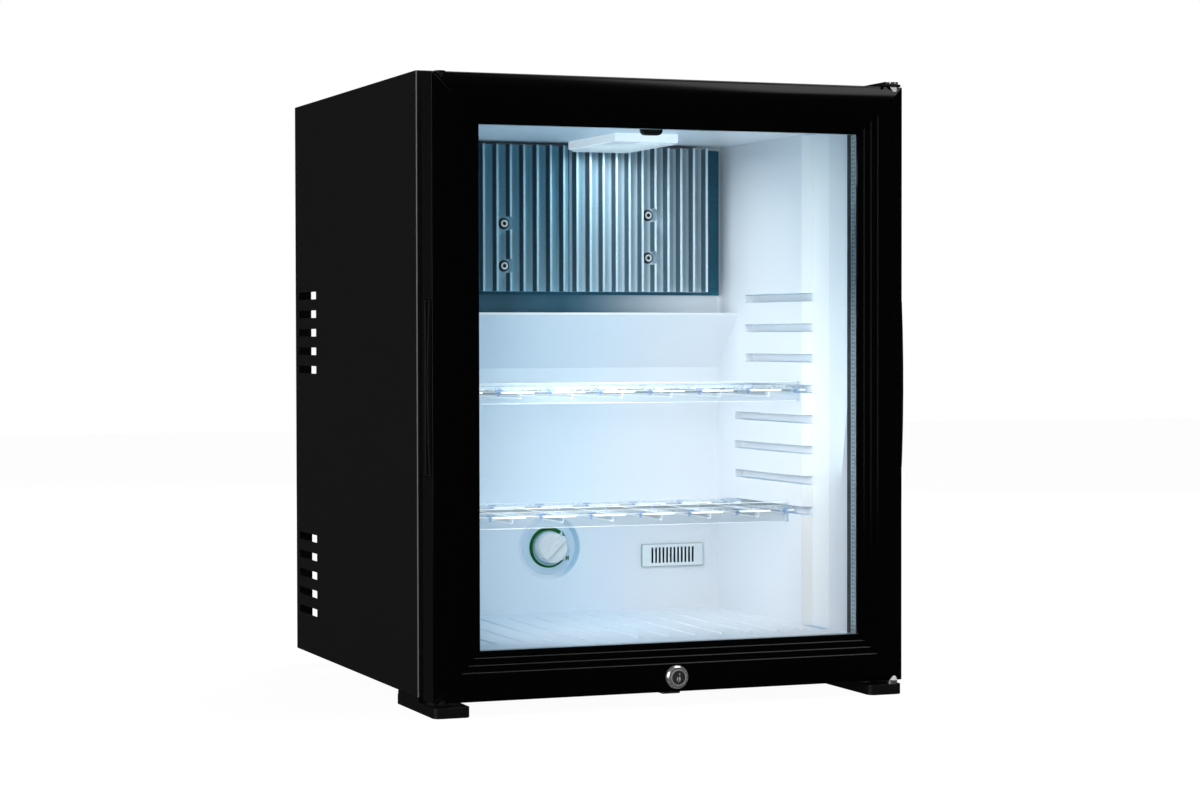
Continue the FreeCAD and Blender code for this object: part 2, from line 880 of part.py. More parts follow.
def cooling_plate(condenser):
    """The finned plates, the plate behind them, their screws and the clamps on the cold tube."""
    seam = S.fin_seam_gap / 2
    fin_plate("evaporator_fins_left", -fin_end, S.fin_seam - seam, plate_screws[:2])
    fin_plate("evaporator_fins_right", S.fin_seam + seam, fin_end, plate_screws[2:])
    screws = screw_set("evaporator_screws", "Y", plate_screws, fin_root, S.plate_screw_head,
                       S.plate_screw_head_height, S.plate_screw_radius, S.plate_screw_length)
    keep(screws, "evaporator_screws")
    reach = liner_half - S.plate_side_gap
    plate = box("plate_blank", (-reach, reach), (plate_front, plate_back), (fin_low - S.plate_lap, fin_high))
    keep(cut("evaporator_plate", plate, screws), "evaporator_plate")
    stub = rear_face + S.chill_stub
    turn = fin_end - S.chill_end_gap
    run = pipe(
        "cold_run", S.chill_tube_radius, S.chill_bend,
        (chill_left, unit_y, chill_high), (chill_left, chill_y, chill_high), (turn, chill_y, chill_high),
        (turn, chill_y, chill_low), (coil_left, chill_y, chill_low), (coil_left, stub, chill_low),
    )
    coil = keep(cut("evaporator_coil", run, condenser), "evaporator_coil")
    blocks = []
    clamp_front = plate_back + S.liner_wall
    span = (fin_low + S.clamp_low, fin_low + S.clamp_low + S.clamp_height)
    for number, place in enumerate((S.left_screw_place, S.right_screw_place)):
        blocks.append(box(f"clamp_{number}", about(place, S.clamp_width),
                          (clamp_front, clamp_front + S.clamp_depth), span))
    clamps = keep(cut("evaporator_clamps", group("clamp_pair", *blocks), screws, coil), "evaporator_clamps")
    return screws, coil, clamps


# Lamp and door switch

def lamp():
    """Housing, board and lens of the lamp under the liner's ceiling."""
    back_y = fin_tip - S.running_gap
    front_y = back_y - S.lamp_length
    wall = S.lamp_wall
    low = liner_ceiling - S.lamp_drop
    housing = Solid("lamp_housing")
    housing.add("XY", low, liner_ceiling, rectangle((S.lamp_left, S.lamp_right), (front_y, back_y)))
    housing.cut("XY", low - S.overrun, liner_ceiling - wall,
                rectangle((S.lamp_left + wall, S.lamp_right - wall), (front_y + wall, back_y - wall)))
    housing.round(S.lamp_wall, lambda edge: along("Z")(edge) and edge.Length > float(S.lamp_drop) - SAME)
    keep(housing.body, "lamp_housing")
    seat = liner_ceiling - wall
    inset = S.board_inset
    board = box("board", (S.lamp_left + inset, S.lamp_right - inset), (front_y + inset, back_y - inset),
                (seat - S.board_thickness, seat))
    middle_x, middle_y = (S.lamp_left + S.lamp_right) / 2, (front_y + back_y) / 2
    leds = []
    for number in range(LEDS):
        place = middle_y + S.led_pitch * (number - (LEDS - 1) / 2)
        leds.append(box(f"led_{number}", about(middle_x, S.led_size), about(place, S.led_size),
                        (seat - S.board_thickness - S.led_height, seat - S.board_thickness)))
    keep(fuse("lamp_board", board, *leds), "lamp_board")
    gap = wall + S.running_gap
    lens = Solid("lamp_lens")
    lens.add("XY", low - S.lens_drop, low, rectangle(
        (S.lamp_left + S.lens_inset, S.lamp_right - S.lens_inset),
        (front_y + S.lens_inset, back_y - S.lens_inset)))
    lens.add("XY", low - S.lens_drop / 2, low + S.lens_lap, rectangle(
        (S.lamp_left + gap, S.lamp_right - gap), (front_y + gap, back_y - gap)))
    thick = S.lens_inset + wall
    lens.cut("XY", low - S.lens_drop + wall, low + S.lens_lap + S.overrun, rectangle(
        (S.lamp_left + thick, S.lamp_right - thick), (front_y + thick, back_y - thick)))
    keep(lens.body, "lamp_lens")


def door_switch():
    """Round-cornered switch that hangs from the ceiling just inside the mouth."""
    start = cabinet_front + S.switch_front_depth
    low = liner_ceiling - S.switch_drop
    tab = Solid("door_switch")
    tab.add("XZ", start, start + S.switch_thickness,
            rectangle((-S.switch_half, S.switch_half), (low, liner_ceiling)))
    tab.round(S.switch_round, lambda edge: along("Y")(edge) and edge.BoundBox.ZMax < float(low) + SAME)
    return keep(tab.body, "door_switch")


# Thermostat and sensor

def thermostat():
    """Dial plate, green scale and body of the thermostat, which stay, and its knob and shaft, which turn."""
    centre = (0, dial_height)
    hole = rod("dial_plate_hole", "Y", dial_face - S.overrun, dish_floor + S.overrun, centre,
               S.shaft_radius + S.running_gap)
    plate = rod("dial_plate", "Y", dial_face, dish_floor, centre, S.dial_radius)
    keep(cut("thermostat_dial", plate, hole), "thermostat_dial")
    mark = rod("scale_disc", "Y", dial_face - S.scale_thickness, dial_face, centre, S.scale_outer_radius)
    inner = rod("scale_room", "Y", dial_face - S.scale_thickness - S.overrun, dial_face + S.overrun,
                (-S.scale_shift / 2, dial_height - S.scale_shift / 2), S.scale_inner_radius)
    gap = box("scale_gap", (0, S.scale_gap_reach),
              (dial_face - S.scale_thickness - S.overrun, dial_face + S.overrun),
              about(dial_height, 2 * S.scale_gap_half))
    keep(cut("dial_scale", mark, inner, gap), "dial_scale")
    body_back = body_front + S.thermostat_depth
    case = box("thermostat_case", about(0, S.thermostat_width), (body_front, body_back),
               about(dial_height, S.thermostat_height))
    bore = rod("thermostat_bore", "Y", body_front - S.overrun, body_front + S.shaft_in_body + S.overrun,
               centre, S.shaft_radius + S.running_gap)
    keep(cut("thermostat_body", case, bore), "thermostat_body")
    knob_back = dial_face - S.scale_thickness - S.knob_lift
    knob = Solid("knob_blank").turn(
        (0, 0), (S.knob_radius, 0), (S.knob_radius, S.knob_height / 2),
        (S.knob_top_radius, S.knob_height), (0, S.knob_height),
    )
    knob.add("XY", S.knob_height / 2, S.knob_height + S.ridge_rise, rectangle(
        about(0, S.ridge_width), about(0, 2 * S.knob_top_radius)))
    stand(knob.body, (0, knob_back, dial_height), "pointer")
    shaft = rod("thermostat_shaft", "Y", knob_back - S.knob_height / 2, body_front + S.shaft_in_body, centre,
                S.shaft_radius)
    keep(fuse("thermostat_knob", knob.body, shaft), "thermostat_knob")
    return box("thermostat_room", about(0, S.thermostat_width), (body_front, body_back),
               about(dial_height, S.thermostat_height))


def sensor():
    """Slotted cover on the back wall and the sensor in the pocket behind it."""
    plate = Solid("sensor_grille")
    plate.add("XZ", liner_back - S.grille_thickness, liner_back, rectangle(
        about(grille_place, S.grille_width), about(grille_height, S.grille_rise)))
    plate.round(S.grille_round, along("Y"))
    slots = []
    for number in range(GRILLE_SLOTS):
        place = grille_place + S.grille_slot_pitch * (number - (GRILLE_SLOTS - 1) / 2)
        slots.append(rectangle(about(place, S.grille_slot), about(grille_height, S.grille_slot_rise)))
    plate.cut("XZ", liner_back - S.grille_thickness - S.overrun, liner_back + S.overrun, *slots)
    keep(plate.body, "sensor_grille")
    seat = grille_height - S.sensor_well_rise / 2 + S.sensor_radius
    depth = liner_back + S.sensor_well_depth - S.sensor_radius
    keep(rod("temperature_sensor", "X", *about(grille_place, S.sensor_length), (depth, seat),
             S.sensor_radius), "temperature_sensor")


# Door frame

def profile(place):
    """The frame's moulded section: from its outer edge inward, and from the door's front back."""
    slope_end = S.frame_width - 3 * S.step_width
    step_end = slope_end + S.step_width
    first = S.slope_drop + S.step_drop
    second = first + S.step_slope + S.step_drop
    third = second + S.step_slope + S.step_drop
    points = (
        (0, S.bevel_drop), (S.bevel_width, 0 * S.bevel_drop), (slope_end, S.slope_drop),
        (slope_end, first), (step_end, first + S.step_slope), (step_end, second),
        (step_end + S.step_width, second + S.step_slope), (step_end + S.step_width, third),
        (S.frame_width, third + S.step_slope), (S.frame_width, S.glass_set), (glass_rebate, S.glass_set),
        (glass_rebate, glass_back), (S.rear_wall_width, glass_back), (S.rear_wall_width, door_back - front),
        (0, door_back - front),
    )
    return polygon(*[place(inward, depth) for inward, depth in points])


def chamber(place):
    """The hollow that runs inside the frame's section."""
    near, far = S.chamber_wall, glass_rebate - S.chamber_wall
    corners = ((near, S.chamber_front), (far, S.chamber_front), (far, chamber_rear), (near, chamber_rear))
    return polygon(*[place(inward, depth) for inward, depth in corners])


def hinge_holes():
    """Holes for the bushes and plugs, up from the door's bottom and down from its top."""
    holes = []
    for number, side in enumerate((-1, 1)):
        centre = (hinge_x * side, hinge_y)
        holes.append(rod(f"low_hole_{number}", "Z", door_bottom - S.overrun, door_bottom + S.bush_length,
                         centre, S.bush_radius))
        holes.append(rod(f"high_hole_{number}", "Z", door_top - S.bush_length, door_top + S.overrun,
                         centre, S.bush_radius))
    return fuse("hinge_holes", *holes)


def upright_member(name, side, holes):
    """The frame's left or right moulding, mitred at both ends, with the handle's opening."""
    member = Solid(name + "_section")

    def place(inward, depth):
        return (half - inward) * side, front + depth

    member.add("XY", door_bottom, door_top, profile(place))
    member.cut("XY", door_bottom - S.overrun, door_top + S.overrun, chamber(place))
    over = S.overrun
    outside, inner = (half + over) * side, (half - S.frame_width - over) * side
    for edge, way in ((door_bottom, 1), (door_top, -1)):
        outer, deep = edge - over * way, edge + (S.frame_width + over) * way
        member.cut("XZ", front - over, door_back + over,
                   polygon((outside, outer), (inner, deep), (inner, outer)))
    low, high = sorted(((half + over) * side, (half - S.handle_depth) * side), key=float)
    member.cut("YZ", low, high, rectangle((front + S.handle_front, front + glass_back),
                                          (handle_low, handle_high)))
    return keep(cut(name, member.body, holes), name)


def level_member(name, edge, way, tools):
    """The frame's bottom or top moulding, mitred at both ends."""
    member = Solid(name + "_section")

    def place(inward, depth):
        return front + depth, edge + inward * way

    member.add("YZ", -half, half, profile(place))
    member.cut("YZ", -half - S.overrun, half + S.overrun, chamber(place))
    over = S.overrun
    outer, deep = edge - over * way, edge + (S.frame_width + over) * way
    for side in (-1, 1):
        outside, inner = (half + over) * side, (half - S.frame_width - over) * side
        member.cut("XZ", front - over, door_back + over,
                   polygon((outside, outer), (inner, deep), (outside, deep)))
    return keep(cut(name, member.body, *tools), name)


def lock_room():
    """What the bottom moulding leaves free for the lock and the swing of its cam."""
    centre = (0, lock_height)
    ring = rod("ring_room", "Y", front - S.overrun, front + S.ring_set, centre, S.ring_radius)
    barrel = rod("barrel_room", "Y", front, front + S.chamber_front + S.overrun, centre, S.barrel_radius)
    gap = S.cam_slot_gap
    slot = box("cam_room", (-S.cam_width / 2 - gap, S.cam_reach), (cam_front - gap, cam_back + gap),
               (door_bottom - S.overrun, door_bottom + S.chamber_wall + S.overrun))
    return ring, barrel, slot


def corner_keys():
    """Angles inside the frame's hollow that join its mitred corners."""
    gap = S.running_gap
    near, far = S.chamber_wall + gap, glass_rebate - S.chamber_wall - gap
    reach = S.key_length
    keys = []
    for side in (-1, 1):
        for edge, way in ((door_bottom, 1), (door_top, -1)):
            corners = ((near, near), (reach, near), (reach, far), (far, far), (far, reach), (near, reach))
            outline = polygon(*[((half - a) * side, edge + b * way) for a, b in corners])
            key = Solid(f"corner_key_{len(keys)}")
            key.add("XZ", front + S.key_front, front + chamber_rear - gap, outline)
            keys.append(key.body)
    return keep(group("corner_keys", *keys), "corner_keys")


def window(inset):
    """A rectangle as far inside the door's edge as the inset."""
    return rectangle((inset - half, half - inset), (door_bottom + inset, door_top - inset))


def glazing():
    """Two panes with a perforated spacer between them."""
    edge = S.frame_width - S.glass_lap
    start = front + S.glass_set
    middle = start + S.pane_thickness
    rear = middle + S.pane_space
    keep(Solid("front_pane").add("XZ", start, middle, window(edge)).body, "front_pane")
    keep(Solid("rear_pane").add("XZ", rear, rear + S.pane_thickness, window(edge)).body, "rear_pane")
    outer = S.frame_width - S.spacer_width - S.spacer_inset
    inner = S.frame_width - S.spacer_inset
    spacer = Solid("glazing_spacer").add("XZ", middle, rear, window(outer))
    spacer.cut("XZ", middle - S.overrun, rear + S.overrun, window(inner))
    keep(spacer.body, "glazing_spacer")


def rear_frame():
    """Frame behind the glass, with the groove that the gasket clips into."""
    start = front + glass_back
    inner = S.frame_width - S.rear_frame_lap
    outer = S.rear_wall_width + S.running_gap
    ring = Solid("door_rear_frame").add("XZ", start, door_back, window(outer))
    ring.cut("XZ", start - S.overrun, door_back + S.overrun, window(inner))
    low = S.gasket_groove_inset - S.running_gap
    high = S.gasket_groove_inset + S.gasket_groove_width + S.running_gap
    ring.cut("XZ", door_back - S.gasket_groove_depth, door_back + S.overrun, mouth(high), mouth(low))
    return keep(ring.body, "door_rear_frame")


def mouth(grow):
    """The liner's mouth, as much larger all round as it is told."""
    side = mouth_half + grow
    return rectangle((-side, side), (liner_floor - grow, liner_ceiling + grow))


def door_gasket():
    """Gasket round the mouth: a dart in the frame's groove, a foot, a narrow bellows and a magnet head."""
    inner, outer = S.running_gap, S.gasket_width + S.running_gap
    dart = (S.gasket_groove_inset, S.gasket_groove_inset + S.gasket_groove_width)
    foot = door_back + S.gasket_foot
    neck = foot + S.gasket_neck
    head = cabinet_front - S.running_gap
    ring = Solid("door_gasket")
    pinch = S.gasket_foot
    ring.add("XZ", door_back - S.gasket_groove_depth + S.running_gap, foot, mouth(dart[1]), mouth(dart[0]))
    ring.add("XZ", door_back, foot, mouth(outer), mouth(inner))
    ring.add("XZ", door_back, neck, mouth(outer - pinch), mouth(inner + pinch))
    ring.add("XZ", neck, head, mouth(outer), mouth(inner))
    return keep(ring.body, "door_gasket")


def bowed_lip(side, low, high):
    """The handle's lip from the front: straight inside, and bowed out at the door's side."""
    root, end = (half - S.handle_wall) * side, (half + S.lip_end_proud) * side
    bow = S.lip_middle_proud - S.lip_end_proud
    chord = high - low
    radius = (chord * chord / 4 + bow * bow) / (2 * bow)
    centre = Vector(float((half + S.lip_middle_proud - radius) * side), float((low + high) / 2), 0)

    def loop(sketch):
        points = ((end, high), (root, high), (root, low), (end, low))
        for here, there in zip(points, points[1:]):
            ends = [Vector(float(u), float(v), 0) for u, v in (here, there)]
            sketch.addGeometry(Part.LineSegment(*ends), False)
        spread = math.asin(float(chord) / 2 / float(radius))
        middle = 0 if side > 0 else math.pi
        ring = Part.Circle(centre, Vector(0, 0, 1), float(radius))
        arc = sketch.addGeometry(Part.ArcOfCircle(ring, middle - spread, middle + spread), False)
        for line in (1, 2):
            sketch.addConstraint(Sketcher.Constraint("Coincident", line - 1, 2, line, 1))
        first, last = (1, 2) if side > 0 else (2, 1)
        sketch.addConstraint(Sketcher.Constraint("Coincident", 2, 2, arc, first))
        sketch.addConstraint(Sketcher.Constraint("Coincident", arc, last, 0, 1))
        for line in (0, 1, 2):
            hold(sketch, line, 1, *points[line])
        hold(sketch, 2, 2, *points[3])
        rule = sketch.addConstraint(Sketcher.Constraint("Radius", arc, float(radius)))
        sketch.setExpression(f"Constraints[{rule}]", radius.formula)

    return loop


def handle(name, side):
    """Handle cup set in the door's side, with a bowed lip along its front and ribs inside."""
    wall, gap = S.handle_wall, S.running_gap
    start, end = front + S.handle_front + gap, front + glass_back - gap
    low, high = handle_low + gap, handle_high - gap
    deep = half - S.handle_depth + gap
    cup = Solid(name)
    lows = sorted((deep * side, half * side), key=float)
    cup.add("YZ", *lows, rectangle((start, end), (low, high)))
    room = sorted(((deep + wall) * side, (half + S.overrun) * side), key=float)
    lip_back = start + S.lip_thickness
    cup.cut("YZ", *room, rectangle((lip_back, end - wall), (low + wall, high - wall)))
    rib_reach = sorted((deep * side, (deep + wall + S.handle_rib_rise) * side), key=float)
    inset, length = S.handle_rib_inset, S.handle_rib_length
    rib_y = (end - wall - 4 * S.handle_rib, end - wall - 3 * S.handle_rib)
    cup.add("YZ", *rib_reach, rectangle(rib_y, (low + inset, low + inset + length)),
            rectangle(rib_y, (high - inset - length, high - inset)))
    cup.add("XZ", start, lip_back, bowed_lip(side, low, high))
    return keep(cup.body, name)


# Hinges

def hinges():
    """Bushes and plugs in the door, the bracket and pivots on the cabinet."""
    bushes, plugs = [], []
    for number, (low, high) in enumerate((
            (door_bottom, door_bottom + S.bush_length), (door_top - S.bush_length, door_top))):
        sleeve = rod(f"sleeve_{number}", "Z", low, high, (hinge_x, hinge_y), S.bush_radius)
        bore = rod(f"sleeve_bore_{number}", "Z", low - S.overrun, high + S.overrun, (hinge_x, hinge_y),
                   S.pin_radius + S.pin_gap)
        bushes.append(cut(f"bush_{number}", sleeve, bore))
    keep(group("hinge_bushes", *bushes), "hinge_bushes")
    for number, (edge, way) in enumerate(((door_bottom, 1), (door_top, -1))):
        stem = sorted((edge, edge + S.plug_length * way), key=float)
        cap = sorted((edge - S.plug_cap * way, edge), key=float)
        plugs.append(fuse(
            f"plug_{number}", rod(f"plug_stem_{number}", "Z", *stem, (-hinge_x, hinge_y), S.plug_radius),
            rod(f"plug_cap_{number}", "Z", *cap, (-hinge_x, hinge_y), S.plug_cap_radius)))
    keep(group("hinge_hole_plugs", *plugs), "hinge_hole_plugs")

    plate_low = door_top + S.bracket_lift
    plate_high = plate_low + S.bracket_plate
    head_high = plate_high + S.pin_head_height
    head = rod("pivot_head", "Z", plate_high, head_high, (hinge_x, hinge_y), S.pin_head_radius)
    slot = box("pivot_slot", about(hinge_x, S.pin_slot),
               (hinge_y - S.pin_head_radius - S.overrun, hinge_y + S.pin_head_radius + S.overrun),
               (head_high - S.pin_slot_depth, head_high + S.overrun))
    shank = rod("pivot_shank", "Z", door_top - S.pin_reach, plate_high, (hinge_x, hinge_y), S.pin_radius)
    pivot = fuse("top_hinge_pin", cut("pivot_top", head, slot), shank)

    right = half - S.bracket_inset
    left = right - S.bracket_width
    bracket = Solid("bracket_blank")
    bracket.add("XY", plate_low, plate_high, rectangle((left, right), (hinge_y, cabinet_front)))
    bracket.add("XY", plate_low, plate_high, circle(hinge_x, hinge_y, S.bracket_nose))
    bracket.add("XY", plate_low, plate_high + S.bracket_flange,
                rectangle((left, left + S.bracket_plate), (hinge_y - S.bracket_nose, cabinet_front)))
    bracket.add("XZ", cabinet_front - S.bracket_plate, cabinet_front,
                rectangle((left, right), (plate_high - S.bracket_leg, plate_high)))
    places = [((left + right) / 2, plate_high - drop) for drop in (S.hinge_screw_low, S.hinge_screw_high)]
    screws = screw_set("hinge_screws", "Y", places, cabinet_front - S.bracket_plate, S.hinge_screw_head,
                       S.hinge_screw_head_height, S.hinge_screw_radius, S.hinge_screw_length)
    keep(screws, "hinge_screws")
    keep(cut("top_hinge_bracket", bracket.body, pivot, screws), "top_hinge_bracket")

    lower = rod("lower_shank", "Z", toe_height - S.pin_sink, door_bottom + S.pin_reach,
                (hinge_x, hinge_y), S.pin_radius)
    collar = rod("lower_collar", "Z", toe_height, door_bottom - S.running_gap, (hinge_x, hinge_y),
                 S.pin_collar)
    lower_pin = fuse("bottom_hinge_pin", lower, collar)
    keep(group("hinge_pins", pivot, lower_pin), "hinge_pins")
    return lower_pin, screws


# Feet

def feet(lower_pin):
    """Front feet that reach under the door, the right one with the lower hinge pin, and rear feet."""
    start = front + S.foot_front_inset
    end = start + S.foot_length
    low_face = S.foot_screw_sink
    screws = []
    y_places = (cabinet_front + S.foot_screw_inset, end - S.foot_screw_inset)
    for side in (-1, 1):
        centre_x = (half - S.foot_width / 2) * side
        for y in y_places:
            screws.append((centre_x, y))
    rear = [((inside - S.rear_foot_side_gap) * side, back - S.rear_foot_inset) for side in (-1, 1)]
    strike_y = cabinet_front + S.strike_lap / 2
    set_of_screws = screw_set("foot_fixings", "Z", screws + rear, low_face, S.hinge_screw_head,
                              S.hinge_screw_head_height, S.hinge_screw_radius,
                              S.leg_height - low_face + S.foot_screw_length)
    for name, side, extra in (("front_foot", -1, []), ("hinge_foot", 1, [lower_pin])):
        outer, inner = half * side, (half - S.foot_width) * side
        foot = Solid(name + "_block")
        foot.add("XY", 0, toe_height, rectangle((inner, outer), (start, end)))
        foot.round(S.foot_round, along("Z"))
        foot.add("XY", toe_height / 2, S.leg_height,
                 rectangle((inner, outer), (cabinet_front, end - S.foot_round)))
        wells = [circle((half - S.foot_width / 2) * side, y, S.hinge_screw_head) for y in y_places]
        foot.cut("XY", -S.overrun, low_face, *wells)
        keep(cut(name, foot.body, set_of_screws, *extra), name)
    pads = []
    for number, (x, y) in enumerate(rear):
        pad = Solid(f"rear_foot_{number}").add("XY", 0, S.leg_height, circle(x, y, S.rear_foot_radius))
        pad.cut("XY", -S.overrun, low_face, circle(x, y, S.hinge_screw_head))
        pads.append(pad.body)
    keep(cut("rear_feet", group("rear_foot_pair", *pads), set_of_screws), "rear_feet")
    plate = Solid("strike_blank")
    width = (-S.strike_width / 2, S.strike_width / 2)
    high = S.leg_height
    low = high - S.strike_thickness
    plate.add("XY", low - S.strike_step, high - S.strike_step,
              rectangle(width, (front + S.strike_front_inset, cabinet_front - S.strike_joggle / 2)))
    plate.add("XY", low, high,
              rectangle(width, (cabinet_front - S.strike_joggle, cabinet_front + S.strike_lap)))
    plate.cut("XY", low - S.strike_step - S.overrun, high + S.overrun, rectangle(
        (-S.strike_slot_half, S.strike_width / 2 + S.overrun),
        (cam_front - S.strike_slot_gap, cam_back + S.strike_slot_gap)))
    strike_screws = screw_set("strike_fixing", "Z", [(0, strike_y)], low, S.hinge_screw_head,
                              S.hinge_screw_head_height, S.hinge_screw_radius, S.foot_screw_length)
    keep(cut("strike_plate", plate.body, strike_screws), "strike_plate")
    return keep(group("base_screws", set_of_screws, strike_screws), "base_screws")


# Lock

def lock():
    """Barrel in the door's bottom moulding, and the key plug with its cam, which turn."""
    centre = (0, front, lock_height)
    bore = S.plug_face_radius + S.running_gap
    stud = cam_back - front
    barrel = Solid("lock_barrel").turn(
        (bore, -barrel_length), (S.barrel_radius, -barrel_length),
        (S.barrel_radius, -S.ring_set), (S.ring_radius, -S.ring_set),
        (S.ring_radius, S.ring_proud / 2), (S.barrel_radius, S.ring_proud), (bore, S.ring_proud),
    )
    keep(stand(barrel.body, centre, "front"), "lock_barrel")
    plug = Solid("lock_plug").turn(
        (0, -stud - S.cam_stud_rise), (S.cam_stud_head, -stud - S.cam_stud_rise), (S.cam_stud_head, -stud),
        (S.cam_stud_radius, -stud), (S.cam_stud_radius, -barrel_length),
        (S.plug_face_radius, -barrel_length), (S.plug_face_radius, S.lock_proud), (0, S.lock_proud),
    )
    plug.cut("XY", S.lock_proud - S.keyway_depth, S.lock_proud + S.overrun, rectangle(
        about(0, S.keyway_width), about(0, S.keyway_rise)))
    keep(stand(plug.body, centre, "front"), "lock_plug")
    arm = Solid("cam_blank")
    arm.add("XZ", front + barrel_length, cam_back, circle(0, lock_height, S.plug_face_radius))
    arm.add("XZ", cam_front, cam_back, rectangle((0, S.cam_reach), about(lock_height, S.cam_width)))
    keep(cut("lock_cam", arm.body, plug.body), "lock_cam")


# Shelves

def shelf(name, groove):
    """Clear shelf: a deck with a tall front bar, tabs in a pair of grooves and ribs below."""
    height, stop = grooves[groove]
    start = stop - S.shelf_gap - S.tab_length
    end = start + S.shelf_depth
    side = liner_half - S.shelf_gap
    tab = about(height, S.groove_slot - 2 * S.tab_gap)
    deck = (tab[1] - S.shelf_deck, tab[1])
    tray = Solid(name)
    tray.add("XY", *deck, rectangle((-side, side), (start, end)))
    run = (start + S.shelf_wall, start + S.tab_length)
    reach = mouth_half - S.tab_end_gap
    tray.add("XY", *tab, rectangle((-reach, S.shelf_edge - side), run),
             rectangle((side - S.shelf_edge, reach), run))
    tray.add("XY", height - S.shelf_skirt, height + S.shelf_rim,
             rectangle((-side, side), (start, start + S.shelf_bar)))
    tray.cut("XY", height - S.shelf_skirt - S.overrun, deck[0], rectangle(
        (S.shelf_wall - side, side - S.shelf_wall), (start + S.shelf_wall, start + S.shelf_bar + S.overrun)))
    ribs = []
    count = int(float(side) // float(S.shelf_rib_pitch))
    for number in range(-count, count + 1):
        ribs.append(rectangle(about(S.shelf_rib_pitch * number, S.shelf_wall),
                              (start + S.shelf_wall / 2, end - S.shelf_wall)))
    tray.add("XY", deck[0] - S.shelf_rib_drop, deck[1] - S.shelf_deck / 2, *ribs)
    tray.add("XY", deck[0] - S.shelf_rib_drop, deck[1] - S.shelf_deck / 2,
             rectangle((-side, side), (end - S.shelf_wall, end)))
    return keep(tray.body, name)


# Cooling unit at the back

def condenser_pipe():
    """The condenser's tube: up from the boiler, across under the top and down to the cold coil."""
    return keep(pipe(
        "condenser_tube", S.tube_radius, S.riser_bend,
        (boiler_place, unit_y, S.boiler_high - S.boiler_round),
        (boiler_place, unit_y, condenser_height),
        (chill_left, unit_y, condenser_height),
        (chill_left, unit_y, chill_high - S.tube_radius),
    ), "condenser_tube")


def cooling_unit(condenser):
    """Absorber vessel and coil, boiler, condenser's fins, liquid tube and the straps that hold them."""
    stub = rear_face + S.chill_stub
    tank = Solid("absorber_vessel_blank")
    tank.add("YZ", tank_left, tank_right, circle(unit_y, S.tank_height, S.tank_radius))
    tank.round(S.tank_round, lambda edge: True)
    points = [(coil_left, stub, chill_low), (coil_left, unit_y, chill_low)]
    rows = int(float(coil_top - coil_lowest) // float(S.coil_row)) + 1
    for row in range(rows):
        ends = (coil_left, coil_right) if row % 2 == 0 else (coil_right, coil_left)
        points += [(x, unit_y, coil_top - S.coil_row * row) for x in ends]
    points.append((points[-1][0], unit_y, S.tank_height))
    coil = pipe("absorber_coil", S.tube_radius, S.tube_bend, *points)
    boiler = Solid("boiler_jacket_blank")
    boiler.add("XY", S.boiler_low, S.boiler_high, circle(boiler_place, unit_y, S.boiler_radius))
    boiler.round(S.boiler_round, lambda edge: True)
    liquid = rod("liquid_tube", "X", tank_right - S.tank_round, boiler_place,
                 (unit_y, S.liquid_height), S.thin_tube_radius)
    keep(group("absorber_tubes", coil, liquid), "absorber_tubes")
    keep(cut("absorber_vessel", tank.body, coil, liquid), "absorber_vessel")
    keep(cut("boiler_jacket", boiler.body, liquid, condenser), "boiler_jacket")
    fins = Solid("condenser_fins_blank")
    first = chill_left + S.condenser_fin_left_gap
    last = boiler_place - S.condenser_fin_right_gap
    count = int(float(last - first) // float(S.condenser_fin_pitch)) + 1
    fins.add("XY", *about(condenser_height, S.condenser_fin_rise), *[
        rectangle(about(first + S.condenser_fin_pitch * number, S.condenser_fin),
                  about(unit_y, S.condenser_fin_depth))
        for number in range(count)
    ])
    keep(cut("condenser_fins", fins.body, condenser), "condenser_fins")
    strap_y = unit_y + S.tube_radius
    straps = []
    for number, height in enumerate((S.lower_strap, S.upper_strap)):
        strap = Solid(f"strap_{number}")
        span = about(height, S.strap_height)
        strap.add("XY", *span, rectangle((-inside, inside), (strap_y, strap_y + S.strap_thickness)))
        for side in (-1, 1):
            reach = sorted((inside * side, (inside - S.strap_thickness) * side), key=float)
            strap.add("XY", *span, rectangle(reach, (strap_y, strap_y + S.strap_tab)))
        straps.append(strap.body)
    keep(cut("unit_straps", group("strap_pair", *straps), boiler.body), "unit_straps")


def drain():
    """Tube from the ledge's gutter through the foam, and the cup that it drips into."""
    start_y = plate_back - S.drain_gap
    out_y = rear_face + S.drain_back
    low = drain_height - S.drain_drop
    route = ((drain_place, start_y, drain_height), (drain_place, out_y, drain_height))
    tube = pipe("drain_outside", S.drain_radius, S.drain_bend,
                (drain_place, start_y, ledge_top), *route, (drain_place, out_y, low))
    bore = pipe("drain_bore", S.drain_radius - S.drain_wall, S.drain_bend,
                (drain_place, start_y, ledge_top + S.overrun), *route, (drain_place, out_y, low - S.overrun))
    keep(cut("drain_tube", tube, bore), "drain_tube")
    cup_front = rear_face
    wall = S.cup_wall
    cup = Solid("drip_cup")
    cup.add("XY", cup_low, cup_low + S.cup_rise, rectangle(
        about(drain_place, S.cup_width), (cup_front, cup_front + S.cup_depth)))
    cup.round(S.terminal_round, along("Z"))
    cup.cut("XY", cup_low + wall, cup_low + S.cup_rise + S.overrun, rectangle(
        about(drain_place, S.cup_width - 2 * wall), (cup_front + wall, cup_front + S.cup_depth - wall)))
    keep(cup.body, "drip_cup")
    return tube


